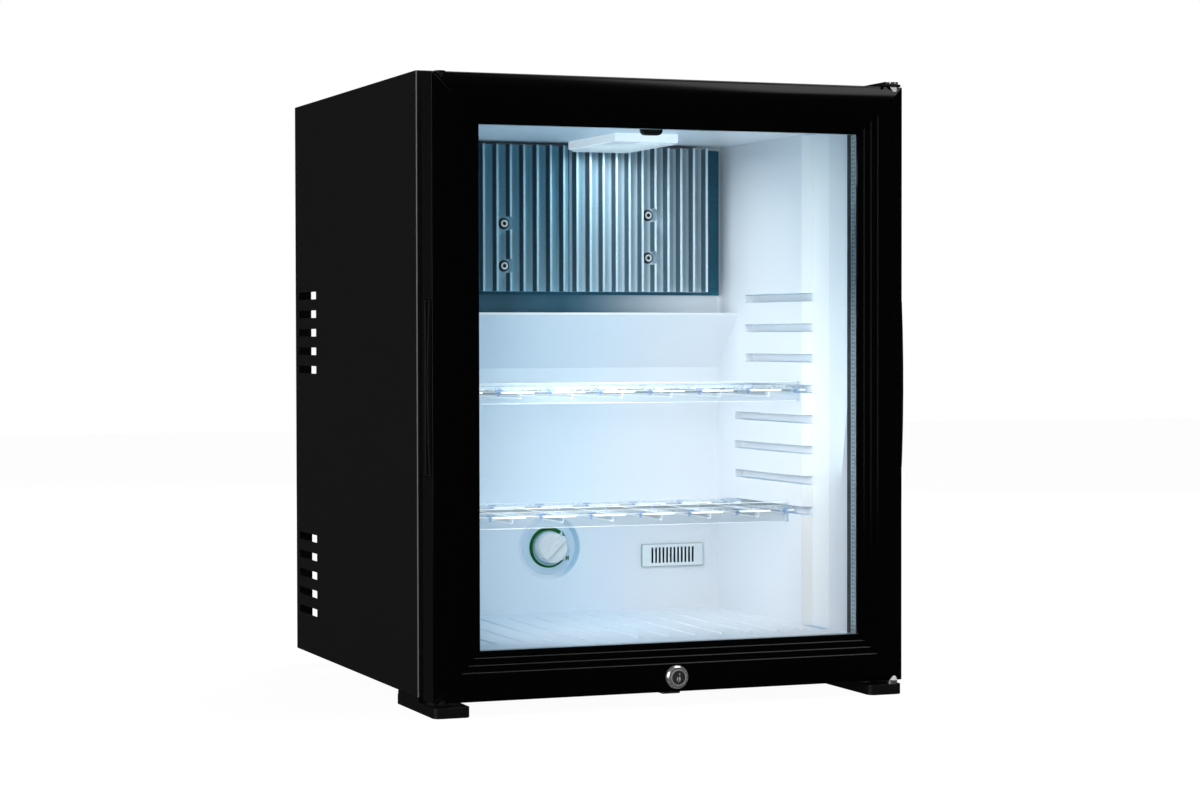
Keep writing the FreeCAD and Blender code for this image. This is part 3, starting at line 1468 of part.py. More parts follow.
def terminal_box():
    """Box for the wiring on the rear panel, with the inlet for the mains lead on its back."""
    end = rear_face + S.terminal_depth
    middle_x = S.terminal_inset - inside + S.terminal_width / 2
    middle_z = cup_low - S.terminal_gap - S.terminal_height / 2
    case = Solid("terminal_blank")
    case.add("XZ", rear_face, end,
             rectangle(about(middle_x, S.terminal_width), about(middle_z, S.terminal_height)))
    case.round(S.terminal_round, along("Y"))
    case.cut("XZ", end - S.inlet_body, end + S.overrun, rectangle(
        about(middle_x, S.inlet_width), about(middle_z, S.inlet_rise)))
    keep(case.body, "terminal_box")
    inlet = Solid("power_inlet")
    inlet.add("XZ", end - S.inlet_body, end + S.inlet_lip_thickness, rectangle(
        about(middle_x, S.inlet_width), about(middle_z, S.inlet_rise)))
    inlet.add("XZ", end, end + S.inlet_lip_thickness, rectangle(
        about(middle_x, S.inlet_width + 2 * S.inlet_lip), about(middle_z, S.inlet_rise + 2 * S.inlet_lip)))
    well_floor = end + S.inlet_lip_thickness - S.inlet_well
    inlet.cut("XZ", well_floor, end + S.inlet_lip_thickness + S.overrun, rectangle(
        about(middle_x, S.inlet_well_width), about(middle_z, S.inlet_well_rise)))
    blades = [
        rectangle(about(middle_x + S.inlet_blade_pitch * number, S.inlet_blade_width),
                  about(middle_z, S.inlet_blade_rise))
        for number in (-1, 0, 1)
    ]
    inlet.add("XZ", well_floor - S.overrun, well_floor + S.inlet_blade_length, *blades)
    keep(inlet.body, "power_inlet")


def build():
    """Makes every piece of the fridge."""
    condenser = condenser_pipe()
    plate_set, coil, clamps = cooling_plate(condenser)
    cooling_unit(condenser)
    terminal_box()
    drain_tube = drain()
    lamp()
    door_switch()
    room = thermostat()
    sensor()
    lower_pin, bracket_set = hinges()
    base_set = feet(lower_pin)
    outer_shell(bracket_set)
    bottom_panel(base_set)
    rear_crossbar(base_set)
    rear_panel(coil, drain_tube)
    liner = inner_liner([plate_set, bracket_set, drain_tube])
    insulation([liner, room, coil, clamps, plate_set, drain_tube, bracket_set, base_set])
    holes = hinge_holes()
    upright_member("door_frame_left", -1, holes)
    upright_member("door_frame_right", 1, holes)
    level_member("door_frame_bottom", door_bottom, 1, (holes, *lock_room()))
    level_member("door_frame_top", door_top, -1, (holes,))
    corner_keys()
    glazing()
    rear_frame()
    door_gasket()
    handle("handle_left", -1)
    handle("handle_right", 1)
    lock()
    shelf("shelf_upper", UPPER_SHELF_GROOVE)
    shelf("shelf_lower", LOWER_SHELF_GROOVE)


def check(things):
    """Stops if any object failed to build, or a piece is empty or not a true solid."""
    for thing in doc.Objects:
        if {"Invalid", "Error"} & set(thing.State):
            raise RuntimeError(f"{thing.Label} failed: {thing.State}")
    for thing in things:
        if thing.Shape.isNull() or not thing.Shape.isValid() or not thing.Shape.Solids:
            raise RuntimeError(f"{thing.Label} has no valid solid")


build()
doc.recompute()
check(kept)
os.makedirs("parts", exist_ok=True)
for piece in kept:
    piece.Shape.exportStep(os.path.join("parts", piece.Label + ".step"))
    print(piece.Label, len(piece.Shape.Solids), round(piece.Shape.Volume))
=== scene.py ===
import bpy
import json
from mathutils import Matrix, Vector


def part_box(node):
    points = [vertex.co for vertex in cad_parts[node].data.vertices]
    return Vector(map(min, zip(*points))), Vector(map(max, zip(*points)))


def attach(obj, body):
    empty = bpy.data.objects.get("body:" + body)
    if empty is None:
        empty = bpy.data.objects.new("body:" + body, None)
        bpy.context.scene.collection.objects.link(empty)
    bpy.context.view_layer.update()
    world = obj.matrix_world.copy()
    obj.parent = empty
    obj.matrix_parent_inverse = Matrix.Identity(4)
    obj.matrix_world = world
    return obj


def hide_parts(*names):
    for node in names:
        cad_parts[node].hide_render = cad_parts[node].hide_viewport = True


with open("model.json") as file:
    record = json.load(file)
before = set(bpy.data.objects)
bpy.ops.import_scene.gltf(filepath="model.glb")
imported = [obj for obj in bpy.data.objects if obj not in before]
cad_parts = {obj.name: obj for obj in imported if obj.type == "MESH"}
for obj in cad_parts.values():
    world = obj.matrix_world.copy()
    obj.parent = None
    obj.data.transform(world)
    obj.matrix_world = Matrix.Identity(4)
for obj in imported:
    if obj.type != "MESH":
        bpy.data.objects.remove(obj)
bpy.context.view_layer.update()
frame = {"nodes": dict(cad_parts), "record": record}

import json
import math

import bmesh
import bpy
from bpy.props import FloatProperty, FloatVectorProperty, PointerProperty
from mathutils import Matrix, Vector

bl_info = {
    "name": "Glass-door minibar fridge",
    "version": (1, 0, 0),
    "blender": (4, 5, 0),
    "location": "View3D > Sidebar > Fridge",
    "description": "Dresses the packed model of a small fridge with a glass door",
    "category": "Object",
}

WELD = 0.000002
FLAT_ANGLE = math.radians(0.6)
SHARP_ANGLE = math.radians(32)

# Fins and shelf ribs: where their rows begin and how far apart they stand, in metres.
FIN_EDGE = 0.140
FIN_PITCH = 0.0124
RIB_PITCH = 0.0446

# Fins: the depth where their tips begin, and the joint between the two extrusions, in metres, which bound the
# painted highlight on the tips and the painted shade on the left extrusion.
FIN_TIP = (0.0574, 0.0586)
FIN_JOINT = (0.0105, 0.0115)

# Shelves: heights over their own underside, spans within a bay and their right end, in metres.
STEP_BAND = (0.0088, 0.0101)
FROST_BAND = (0.0104, 0.0136)
STEM_BAND = (0.0066, 0.0106)
BAR_BAND = (0.0108, 0.0120)
LINE_SPAN = (-0.0160, 0.0120)
MARK_OFFSET = 0.0190
STEM_HALF = 0.0010
BAR_HALF = 0.0042
SHELF_END = (0.1585, 0.1600)

# Liner: the top of the ledge in its back wall, in metres above the floor.
LEDGE_TOP = 0.314

# Liner: its back wall, dish, ledge edge, lower corner and shelf grooves, where light and shade are painted,
# in metres.
BACK_DEPTH = 0.080
DISH_DEPTH = 0.0885
DISH_INNER = (0.0245, 0.0256)
DISH_OUTER = (0.0280, 0.0300)
BROW_DEPTH = (0.0440, 0.0480)
UNDER_FIN_SHADE_TOP = 0.334
CORNER_SIDE = 0.1618
CORNER_TOP = 0.3305
GROOVE_SIDE = 0.1645
GROOVE_FRONT = -0.1240

# Dial: its height above the floor, and its printed scale, in metres and degrees.
DIAL_HEIGHT = 0.105
SCALE_START = 49.0
SCALE_END = 318.0
SCALE_WIDE = 0.0032
SCALE_THIN = 0.0011

# Dark sheet behind the sensor cover, painted shade for its slots: its margins inside the cover, the gap to it
# and the thickness, in metres.
SHADE_SHEET_SIDE = 0.0065
SHADE_SHEET_END = 0.0032
SHADE_SHEET_GAP = 0.0004
SHADE_SHEET_THICK = 0.0010

# Camera: where the picture was taken from, in metres and degrees.
CAMERA_PLACE = (-0.8268, -2.1718, 0.2934)
CAMERA_YAW = 21.159
CAMERA_PITCH = 1.355
CAMERA_ROLL = 0.107
FILM_WIDTH = 36.0
CAMERA_LENS = 81.1

# Floor: how far it lies under the feet, in metres, and how white the camera sees it.
FLOOR_DROP = 0.0002
FLOOR_WHITE = 1.05

# Studio lamps: setting, place, aim and size in metres, colour, and whether glossy pieces mirror them.
WHITE = (1.0, 1.0, 1.0)
LAMPS = (
    ("key", (-1.10, -2.75, 1.10), (0.1, 0.1, 0.22), (1.1, 1.1), (1.0, 0.985, 0.965), False),
    ("side", (-2.3, -0.85, 0.55), (0.0, -0.1, 0.28), (0.5, 2.0), WHITE, True),
    ("top", (0.75, -0.25, 2.1), (0.05, -0.05, 0.3), (1.0, 1.3), WHITE, True),
    ("rear", (1.3, 2.1, 1.1), (0.0, 0.1, 0.25), (1.2, 1.2), WHITE, False),
    ("sheen", (1.15, -1.25, 1.90), (0.1, -0.2, 0.45), (1.0, 0.8), WHITE, True),
)


# Shader maths.


class Wire:
    """One output socket of a finish. An expression on it adds Math nodes."""

    def __init__(self, paint, socket):
        self.paint = paint
        self.socket = socket

    def output(self, name):
        """Another output of the same node."""
        return Wire(self.paint, self.socket.node.outputs[name])

    def maths(self, operation, *terms):
        """A Math node whose terms are wires or numbers."""
        return self.paint.node("Math", {"operation": operation}, dict(enumerate(terms)))

    def __add__(self, other):
        return self.maths("ADD", self, other)

    def __radd__(self, other):
        return self.maths("ADD", other, self)

    def __sub__(self, other):
        return self.maths("SUBTRACT", self, other)

    def __rsub__(self, other):
        return self.maths("SUBTRACT", other, self)

    def __mul__(self, other):
        return self.maths("MULTIPLY", self, other)

    def __rmul__(self, other):
        return self.maths("MULTIPLY", other, self)

    def __truediv__(self, other):
        return self.maths("DIVIDE", self, other)

    def __rtruediv__(self, other):
        return self.maths("DIVIDE", other, self)

    def __pow__(self, other):
        return self.maths("POWER", self, other)

    def __rpow__(self, other):
        return self.maths("POWER", other, self)

    def __mod__(self, other):
        return self.maths("FLOORED_MODULO", self, other)

    def __rmod__(self, other):
        return self.maths("FLOORED_MODULO", other, self)

    def __neg__(self):
        return self.maths("MULTIPLY", self, -1.0)

    def __abs__(self):
        return self.maths("ABSOLUTE", self)

    def __gt__(self, other):
        return self.maths("GREATER_THAN", self, other)

    def __lt__(self, other):
        return self.maths("LESS_THAN", self, other)

    def larger(self, other):
        """The larger of two values."""
        return self.maths("MAXIMUM", self, other)

    def smaller(self, other):
        """The smaller of two values."""
        return self.maths("MINIMUM", self, other)

    def between(self, low, high):
        """1 between two limits and 0 outside them."""
        return (self > low) * (self < high)

    def smooth(self, low, high):
        """0 under low, 1 over high and an even curve between them."""
        sockets = {"Value": self, "From Min": low, "From Max": high}
        return self.paint.node("MapRange", {"interpolation_type": "SMOOTHSTEP"}, sockets)


class Finish:
    """A node tree in the making, and the recipes that its finishes share."""

    def __init__(self, tree):
        self.tree = tree
        self.tree.nodes.clear()

    def node(self, kind, settings=None, sockets=None, out=0):
        """Adds a node: its settings first, then the values or wires of its sockets."""
        made = self.tree.nodes.new("ShaderNode" + kind)
        for key, value in (settings or {}).items():
            setattr(made, key, value)
        for key, value in (sockets or {}).items():
            if isinstance(value, Wire):
                self.tree.links.new(value.socket, made.inputs[key])
            else:
                made.inputs[key].default_value = value
        if not made.outputs:
            return None
        return Wire(self, made.outputs[out])

    def place(self, stretch=(1.0, 1.0, 1.0)):
        """Coordinates in metres that stay with the piece."""
        here = self.node("TexCoord", out="Object")
        if tuple(stretch) == (1.0, 1.0, 1.0):
            return here
        return self.node("VectorMath", {"operation": "MULTIPLY"}, {0: here, 1: stretch})

    def axes(self):
        """The three coordinates in metres as separate values."""
        parts = self.node("SeparateXYZ", sockets={0: self.place()})
        return parts.output("X"), parts.output("Y"), parts.output("Z")

    def normal(self):
        """The three parts of the direction that the surface faces."""
        parts = self.node("SeparateXYZ", sockets={0: self.node("NewGeometry", out="Normal")})
        return parts.output("X"), parts.output("Y"), parts.output("Z")

    def noise(self, scale, detail=2.0, stretch=(1.0, 1.0, 1.0)):
        """Soft noise, about one patch per 1 / scale metres."""
        sockets = {"Vector": self.place(stretch), "Scale": scale, "Detail": detail}
        return self.node("TexNoise", sockets=sockets)

    def cells(self, scale, feature="F1", out="Distance"):
        """Voronoi cells, about one per 1 / scale metres."""
        sockets = {"Vector": self.place(), "Scale": scale}
        return self.node("TexVoronoi", {"feature": feature}, sockets, out)

    def blend(self, factor, first, second):
        """A colour between two colours or wires."""
        sockets = {0: factor, 6: self.opaque(first), 7: self.opaque(second)}
        return self.node("Mix", {"data_type": "RGBA"}, sockets, 2)

    @staticmethod
    def opaque(colour):
        """A colour with its fourth number, or the wire as it is."""
        if isinstance(colour, Wire):
            return colour
        return (*tuple(colour)[:3], 1.0)

    def relief(self, height, depth, over=None):
        """A normal from a height pattern, depth metres deep."""
        sockets = {"Height": height, "Distance": depth, "Strength": 1.0}
        if over is not None:
            sockets["Normal"] = over
        return self.node("Bump", sockets=sockets)

    def skin(self, colour, rough, normal=None, **fixed):
        """A Principled shader: colour, roughness and relief vary, the rest is fixed."""
        sockets = {"Base Color": self.opaque(colour), "Roughness": rough}
        if normal is not None:
            sockets["Normal"] = normal
        for name, value in fixed.items():
            sockets[name.replace("_", " ")] = value
        return self.node("BsdfPrincipled", sockets=sockets)

    def film(self, factor, clear, solid):
        """A Mix Shader of what the piece lets through and what it sends back."""
        return self.node("MixShader", sockets={0: factor, 1: clear, 2: solid})

    def surface(self, shader):
        """Ends the tree with its output."""
        self.node("OutputMaterial", sockets={"Surface": shader})


def shade(colour, share):
    """The colour made lighter or darker by a share."""
    return tuple(min(1.0, part * share) for part in tuple(colour)[:3])


# Finishes, one for each material.


def cabinet_steel(paint, look):
    """Stove-enamelled sheet: satin black over a fine orange-peel skin, with a painted highlight along its
    front edges.
    """
    peel = paint.noise(1100.0, 2.0)
    cloud = paint.noise(7.0, 3.0)
    dust = paint.noise(420.0, 1.0).smooth(0.66, 0.78)
    colour = paint.blend(cloud, shade(look.steel, 0.85), shade(look.steel, 1.15))
    colour = paint.blend(dust * 0.16, colour, shade(look.steel, 3.0))
    across, depth, _ = paint.axes()
    front = 1.0 - depth.smooth(-0.1588, -0.1574)
    # Painted highlight: a pale line along the front vertical edges, where light catches the fold.
    fold_highlight = (1.0 - depth.smooth(-0.15985, -0.1594)) * (abs(across) > 0.2000)
    colour = paint.blend(fold_highlight * 0.6, colour, (0.34, 0.33, 0.33))
    rough = 0.30 + cloud * 0.08 - front * 0.16
    return paint.skin(colour, rough, paint.relief(peel, 0.00002), Specular_IOR_Level=0.3)


def door_profile(paint, look):
    """Black extrusion: drawn lines along each moulding, turned at the mitres."""
    across, _, up = paint.axes()
    upright = (abs(across) + 0.041) > abs(up - 0.2535)
    stiles = paint.noise(900.0, 2.0, (1.0, 1.0, 0.008))
    rails = paint.noise(900.0, 2.0, (0.008, 1.0, 1.0))
    drawn = stiles * upright + rails * (1.0 - upright)
    cloud = paint.noise(11.0, 2.0)
    colour = paint.blend(drawn, shade(look.profile, 0.7), shade(look.profile, 1.4))
    rough = 0.09 + drawn * 0.06 + cloud * 0.03
    return paint.skin(colour, rough, paint.relief(drawn, 0.000006), Specular_IOR_Level=0.22)


def black_plastic(paint, look):
    """Moulded plastic with a fine spark-eroded grain."""
    grain = paint.cells(1500.0)
    cloud = paint.noise(30.0, 2.0)
    colour = paint.blend(cloud, shade(look.plastic, 0.8), shade(look.plastic, 1.3))
    return paint.skin(colour, 0.34 + grain * 0.22, paint.relief(grain, 0.00004), Specular_IOR_Level=0.4)


def white_liner(paint, look):
    """Vacuum-formed liner: smooth, faintly dappled where the sheet was drawn, with painted light and shade on
    its walls.
    """
    dapple = paint.noise(55.0, 2.0)
    pull = paint.noise(7.0, 1.0)
    colour = paint.blend(pull, shade(look.liner, 0.965), look.liner)
    across, depth, up = paint.axes()
    # Painted light: the liner grows whiter towards its right side, where more light falls.
    colour = paint.blend(across.smooth(0.0, 0.150) * 0.7, colour, (0.93, 0.92, 0.94))
    # Painted shade on the right-hand slope of the dial's dish.
    reach = (across ** 2.0 + (up - DIAL_HEIGHT) ** 2.0) ** 0.5
    slope = reach.smooth(*DISH_INNER) * (1.0 - reach.smooth(*DISH_OUTER)) * (depth > DISH_DEPTH)
    shaded = slope * (across / reach - (up - DIAL_HEIGHT) / reach * -0.2).smooth(-0.3, 0.8)
    colour = paint.blend(shaded * 0.75, colour, (0.20, 0.45, 0.62))
    # Painted shade on the back wall under the finned plate, darkest at the left, in a mottled teal.
    back = (depth > BACK_DEPTH) * (up > LEDGE_TOP - 0.0002)
    under_fin_shade_tone = paint.blend(paint.noise(34.0, 3.0), (0.010, 0.070, 0.110), (0.060, 0.210, 0.310))
    under_fin_shade = back * (up < UNDER_FIN_SHADE_TOP) * (1.0 - across.smooth(0.010, 0.140)) * 0.98
    colour = paint.blend(under_fin_shade, colour, under_fin_shade_tone)
    # Painted light, near white: a highlight on the ledge's front edge, the back wall's right corner above the
    # ledge, and the insides of the shelf grooves, where shade would fall.
    brow = up.between(LEDGE_TOP - 0.0020, LEDGE_TOP + 0.0002) * depth.between(*BROW_DEPTH)
    corner = back * (across > CORNER_SIDE) * (up < CORNER_TOP)
    groove = (abs(across) > GROOVE_SIDE) * (depth > GROOVE_FRONT)
    bright = brow.larger(corner.larger(groove))
    colour = paint.blend(bright, colour, (0.97, 0.985, 1.0))
    # Painted shade on the upper and lower faces inside the shelf grooves.
    _, _, tilt = paint.normal()
    colour = paint.blend(groove * abs(tilt).smooth(0.35, 0.80) * 0.8, colour, (0.30, 0.50, 0.68))
    normal = paint.relief(dapple, 0.00005)
    return paint.skin(colour, 0.30 + pull * 0.12, normal, Specular_IOR_Level=0.35)


def white_trim(paint, look):
    """Injection-moulded white plastic with a faint gate blush."""
    blush = paint.noise(35.0, 2.0)
    grain = paint.noise(1400.0, 1.0)
    colour = paint.blend(blush, shade(look.trim, 0.95), look.trim)
    return paint.skin(colour, 0.30 + blush * 0.10, paint.relief(grain, 0.00002), Specular_IOR_Level=0.5)


def clear_plastic(paint, look):
    """Clear moulded shelf: see-through walls and a frosted deck line, with painted highlights on its polished
    edges and step line, painted shade at its right end and a painted glow.
    """
    across, depth, up = paint.axes()
    lower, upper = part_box("shelf_lower")[0].z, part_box("shelf_upper")[0].z
    height = up - lower - (up > upper - 0.02) * (upper - lower)
    bay = ((across + RIB_PITCH / 2.0) % RIB_PITCH) - RIB_PITCH / 2.0
    level, ahead, above = (abs(part) for part in paint.normal())
    flat = level.larger(ahead).larger(above)
    rim = 1.0 - flat.smooth(0.86, 0.97)
    front = ahead.smooth(0.5, 0.9)
    side = level.smooth(0.5, 0.9)
    flow = paint.noise(26.0, 2.0, (1.0, 0.3, 1.0))
    mottle = paint.noise(420.0, 3.0, (1.0, 1.0, 2.5))
    line = front * height.between(*STEP_BAND) * bay.between(*LINE_SPAN)
    frost = front * height.between(*FROST_BAND) * mottle.smooth(0.42, 0.62)
    stem = front * (abs(bay + MARK_OFFSET) < STEM_HALF) * height.between(*STEM_BAND)
    bar = front * (abs(bay + MARK_OFFSET) < BAR_HALF) * height.between(*BAR_BAND)
    mark = stem.larger(bar)
    # Painted shade on the edges at the shelf's right end, beside the wall.
    end = across.smooth(*SHELF_END) * rim
    normal = paint.relief(flow, 0.0003)
    tint = paint.blend(flow, (0.62, 0.80, 0.96), (0.76, 0.90, 1.0))
    # Painted highlight on the edges and along the step line.
    tint = paint.blend(line.larger(rim), tint, (0.97, 0.99, 1.0))
    tint = paint.blend(mark, tint, (0.16, 0.28, 0.50))
    tint = paint.blend(end * 0.8, tint, (0.12, 0.26, 0.46))
    clear = paint.node("BsdfTransparent", sockets={"Color": paint.opaque(look.clear)})
    # Painted glow: the solid part shines in its own tint, standing in for light caught inside the plastic.
    solid = paint.skin(tint, 0.14 + flow * 0.08, normal, Emission_Color=tint, Emission_Strength=0.70)
    amount = 0.03 + front * 0.05 + above.smooth(0.5, 0.9) * 0.02 - side * 0.02 + flow * 0.02
    amount = amount + rim * 0.60 + line * 0.75 + frost * 0.30 + mark * 0.40
    return paint.film(amount.smaller(0.92), clear, solid)


def lamp_case(paint, look):
    """White lamp housing with a painted glow that brightens it."""
    blush = paint.noise(35.0, 2.0)
    grain = paint.noise(1400.0, 1.0)
    # Painted glow: the housing shines as if lit, standing in for the light that falls on it.
    glow = paint.blend(blush, (0.90, 0.95, 0.97), (1.0, 1.0, 1.0))
    return paint.skin(shade(look.trim, 1.1), 0.30 + blush * 0.10, paint.relief(grain, 0.00002),
                      Emission_Color=glow, Emission_Strength=look.case_painted_glow)


def lamp_plastic(paint, look):
    """Frosted lens lit from behind, brighter near its middle."""
    across, _, _ = paint.axes()
    middle = 1.0 - abs(across - 0.035).smooth(0.004, 0.040) * 0.45
    streak = paint.noise(160.0, 2.0, (1.0, 0.05, 1.0))
    glow = paint.blend(streak, (0.86, 0.95, 1.0), (1.0, 1.0, 1.0))
    glow = paint.blend(1.0 - middle, glow, (0.62, 0.74, 0.82))
    facing = paint.node("LayerWeight", sockets={"Blend": 0.4}, out="Facing")
    solid = paint.skin(paint.blend(streak, (0.70, 0.80, 0.88), look.trim), 0.32 + streak * 0.1,
                       Emission_Color=glow, Emission_Strength=look.lens_glow)
    clear = paint.node("BsdfTransparent", sockets={"Color": (0.93, 0.97, 1.0, 1.0)})
    return paint.film(0.30 + facing * 0.25, clear, solid)


def dial_plate(paint, look):
    """White disc of the dial, painted blue-grey as shade in its dish, with more painted shade close to the
    knob.
    """
    across, _, up = paint.axes()
    reach = (across ** 2.0 + (up - DIAL_HEIGHT) ** 2.0) ** 0.5
    # Painted shade close to the knob.
    near = 1.0 - reach.smooth(0.0140, 0.0172)
    blush = paint.noise(35.0, 2.0)
    # Painted shade: the white disc takes a darker blue-grey.
    colour = paint.blend(blush, (0.50, 0.68, 0.82), (0.56, 0.74, 0.87))
    colour = paint.blend(near * 0.75, colour, (0.10, 0.34, 0.44))
    return paint.skin(colour, 0.34 + blush * 0.10, paint.relief(blush, 0.00003), Specular_IOR_Level=0.4)


def dial_grip(paint, look):
    """Moulded knob in a greyer white, with a fine matt grain."""
    grain = paint.noise(1400.0, 1.0)
    worn = paint.noise(60.0, 3.0)
    colour = paint.blend(worn, (0.66, 0.74, 0.78), (0.76, 0.82, 0.84))
    return paint.skin(colour, 0.38 + worn * 0.10, paint.relief(grain, 0.00003), Specular_IOR_Level=0.4)


def slotted_cover(paint, look):
    """White cover, with painted shade inside its slots and a painted shadow line round its border."""
    low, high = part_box("sensor_grille")
    across, _, up = paint.axes()
    face = abs(paint.normal()[0])
    rise = abs(up - (low.z + high.z) / 2.0)
    run = abs(across - (low.x + high.x) / 2.0)
    # Painted shade inside the slots.
    inside = (rise < 0.0072) * (run < 0.0222) * (face > 0.5)
    # Painted shadow line round the cover's border.
    border = (rise > (high.z - low.z) / 2.0 - 0.0005).larger(run > (high.x - low.x) / 2.0 - 0.0005)
    blush = paint.noise(35.0, 2.0)
    colour = paint.blend(blush, shade(look.trim, 0.97), shade(look.trim, 1.05))
    colour = paint.blend(border * 0.7, colour, (0.16, 0.26, 0.24))
    colour = paint.blend(inside, colour, (0.004, 0.030, 0.022))
    return paint.skin(colour, 0.34 + blush * 0.08, paint.relief(blush, 0.00002), Specular_IOR_Level=0.4)


def filter_felt(paint, look):
    """Dark sheet behind the slots, standing in as painted shade inside them, paler in two places."""
    sheet_grain = paint.noise(1300.0, 4.0)
    across, _, _ = paint.axes()
    pale_patches = (abs(across - 0.1018) < 0.0017) + (abs(across - 0.1162) < 0.0017)
    pale_patches = pale_patches * paint.noise(330.0, 2.0).smooth(0.44, 0.54)
    colour = paint.blend(sheet_grain, (0.002, 0.014, 0.011), (0.006, 0.040, 0.030))
    colour = paint.blend(pale_patches, colour, (0.32, 0.44, 0.42))
    return paint.skin(colour, 0.80 + sheet_grain * 0.15, paint.relief(sheet_grain, 0.0002), Specular_IOR_Level=0.2)


def green_print(paint, look):
    """Pad-printed ink, a little thinner in places."""
    ink = paint.noise(900.0, 2.0)
    colour = paint.blend(ink.smooth(0.35, 0.75), look.print, shade(look.print, 1.5))
    return paint.skin(colour, 0.50 + ink * 0.1, paint.relief(ink, 0.00001), Specular_IOR_Level=0.1)


def glass(paint, look):
    """Float glass: clear face on, with a thin green-blue reflection at a slant."""
    facing = paint.node("Fresnel", sockets={"IOR": 1.46})
    smear = paint.noise(5.0, 3.0, (1.0, 1.0, 0.5)).smooth(0.45, 0.8)
    clear = paint.node("BsdfTransparent", sockets={"Color": paint.opaque(look.glass)})
    rough = 0.02 + smear * 0.03
    sheen = paint.skin((0.01, 0.012, 0.012), rough, Specular_IOR_Level=1.0)
    mirror = paint.node("BsdfGlossy", sockets={"Color": (0.9, 0.95, 0.96, 1.0), "Roughness": rough})
    return paint.film(facing * 0.9, clear, paint.film(smear * 0.05, mirror, sheen))


def spacer_aluminium(paint, look):
    """Roll-formed spacer bar with its row of breathing perforations, painted as dark discs of shade."""
    across, depth, up = paint.axes()
    side = abs(paint.normal()[0]) > 0.5
    along = up * side + across * (1.0 - side)
    pitch = 0.0034
    step = (along % pitch) - pitch / 2.0
    row = abs(depth + 0.1885) - 0.0016
    hole = (step ** 2.0 + row ** 2.0) ** 0.5
    # Painted shade: each perforation is a near-black disc.
    pierced = 1.0 - hole.smooth(0.00055, 0.0009)
    drawn = paint.noise(1200.0, 2.0, (1.0, 1.0, 0.02))
    colour = paint.blend(drawn, shade(look.spacer, 0.75), look.spacer)
    colour = paint.blend(pierced, colour, (0.012, 0.014, 0.016))
    metal = 0.9 - pierced * 0.8
    return paint.skin(colour, 0.30 + drawn * 0.12, paint.relief(1.0 - pierced, 0.0002), Metallic=metal)


def screw_reach(paint):
    """Distance from the nearest of the four fin screws."""
    across, _, up = paint.axes()
    found = None
    for low, high in islands("evaporator_screws"):
        middle = (low + high) / 2.0
        reach = ((across - middle.x) ** 2.0 + (up - middle.z) ** 2.0) ** 0.5
        found = reach if found is None else found.smaller(reach)
    return found


def fin_aluminium(paint, look):
    """Anodised extrusion with a bead-blasted speckle, its bright tips a painted highlight and its dark flanks
    painted shade.
    """
    across, depth, up = paint.axes()
    side = abs(paint.normal()[0])
    # Painted highlight on the tips, and painted shade on the flanks.
    tip = 1.0 - depth.smooth(*FIN_TIP)
    flank = side.smooth(0.5, 0.9) * (1.0 - tip)
    drawn = paint.noise(700.0, 3.0, (1.0, 1.0, 0.02))
    speck = paint.noise(1500.0, 2.0)
    tone = (drawn * 0.45 + speck * 0.55).smooth(0.25, 0.75)
    # Painted light and shade: the left extrusion takes the shaded colour, and the right one grows lighter
    # towards the right.
    right = across.smooth(*FIN_JOINT)
    light = right * (0.25 + across.smooth(0.0, 0.110) * 0.75)
    # Painted highlight in a streak beside each tip, and a painted shadow in the gap before the next fin.
    phase = (FIN_EDGE - across) % FIN_PITCH
    lit = (1.0 - phase.smooth(0.0036, 0.0052)) * (1.0 - tip) * (0.12 + light * 0.60)
    shadow = phase.smooth(0.0088, 0.0118) * (1.0 - tip) * 0.45
    # Painted light: the faces grow paler towards the bottom.
    low = 1.0 - up.smooth(0.335, 0.440)
    face = paint.blend(light, look.fins_shaded, look.fins)
    face = paint.blend(low * 0.30, face, (0.62, 0.84, 0.94))
    face = paint.blend(lit, face, look.fin_tips)
    face = paint.blend(flank, face, paint.blend(light * 0.6, look.fin_flanks, (0.14, 0.26, 0.34)))
    face = paint.blend(tip, face, paint.blend(light * 0.7 + 0.3, (0.22, 0.50, 0.62), look.fin_tips))
    # A darker copy of the face, for the painted shadow in the gaps and the dark part of the speckle.
    dark = paint.blend(0.65, face, (0.0, 0.05, 0.075))
    face = paint.blend(shadow, face, dark)
    colour = paint.blend(tone * 0.50, face, dark)
    # Painted shadow round each screw head.
    reach = screw_reach(paint)
    seat = (1.0 - reach.smooth(0.0047, 0.0054)) * (1.0 - flank) * (1.0 - tip)
    colour = paint.blend(seat, colour, (0.004, 0.012, 0.016))
    normal = paint.relief(speck, 0.00006, paint.relief(drawn, 0.00003))
    return paint.skin(colour, 0.42 + speck * 0.16, normal, Metallic=0.15)


def fin_screw(paint, look):
    """Plated screw head: bright rim, with painted shade on its side and in its recess."""
    reach = screw_reach(paint)
    turned = paint.noise(1500.0, 2.0)
    pale = paint.blend(turned, shade(look.zinc, 1.1), (0.92, 0.96, 0.98))
    # Painted shade on the side of the head and in its recess.
    dark = reach.smooth(0.0030, 0.0034) + (1.0 - reach.smooth(0.0014, 0.0019))
    colour = paint.blend(dark, pale, (0.010, 0.014, 0.018))
    return paint.skin(colour, 0.30 + turned * 0.14, paint.relief(turned, 0.00002), Metallic=0.3)


def plate_aluminium(paint, look):
    """Mill-finished cold plate behind the fins, coloured a dark teal as painted shade."""
    rolled = paint.noise(500.0, 3.0, (0.03, 1.0, 1.0))
    frost = paint.noise(60.0, 4.0)
    colour = paint.blend(rolled, shade(look.plate, 0.7), shade(look.plate, 1.2))
    colour = paint.blend(frost.smooth(0.5, 0.8) * 0.3, colour, shade(look.plate, 1.8))
    return paint.skin(colour, 0.36 + frost * 0.14, paint.relief(rolled, 0.00003), Metallic=0.3)


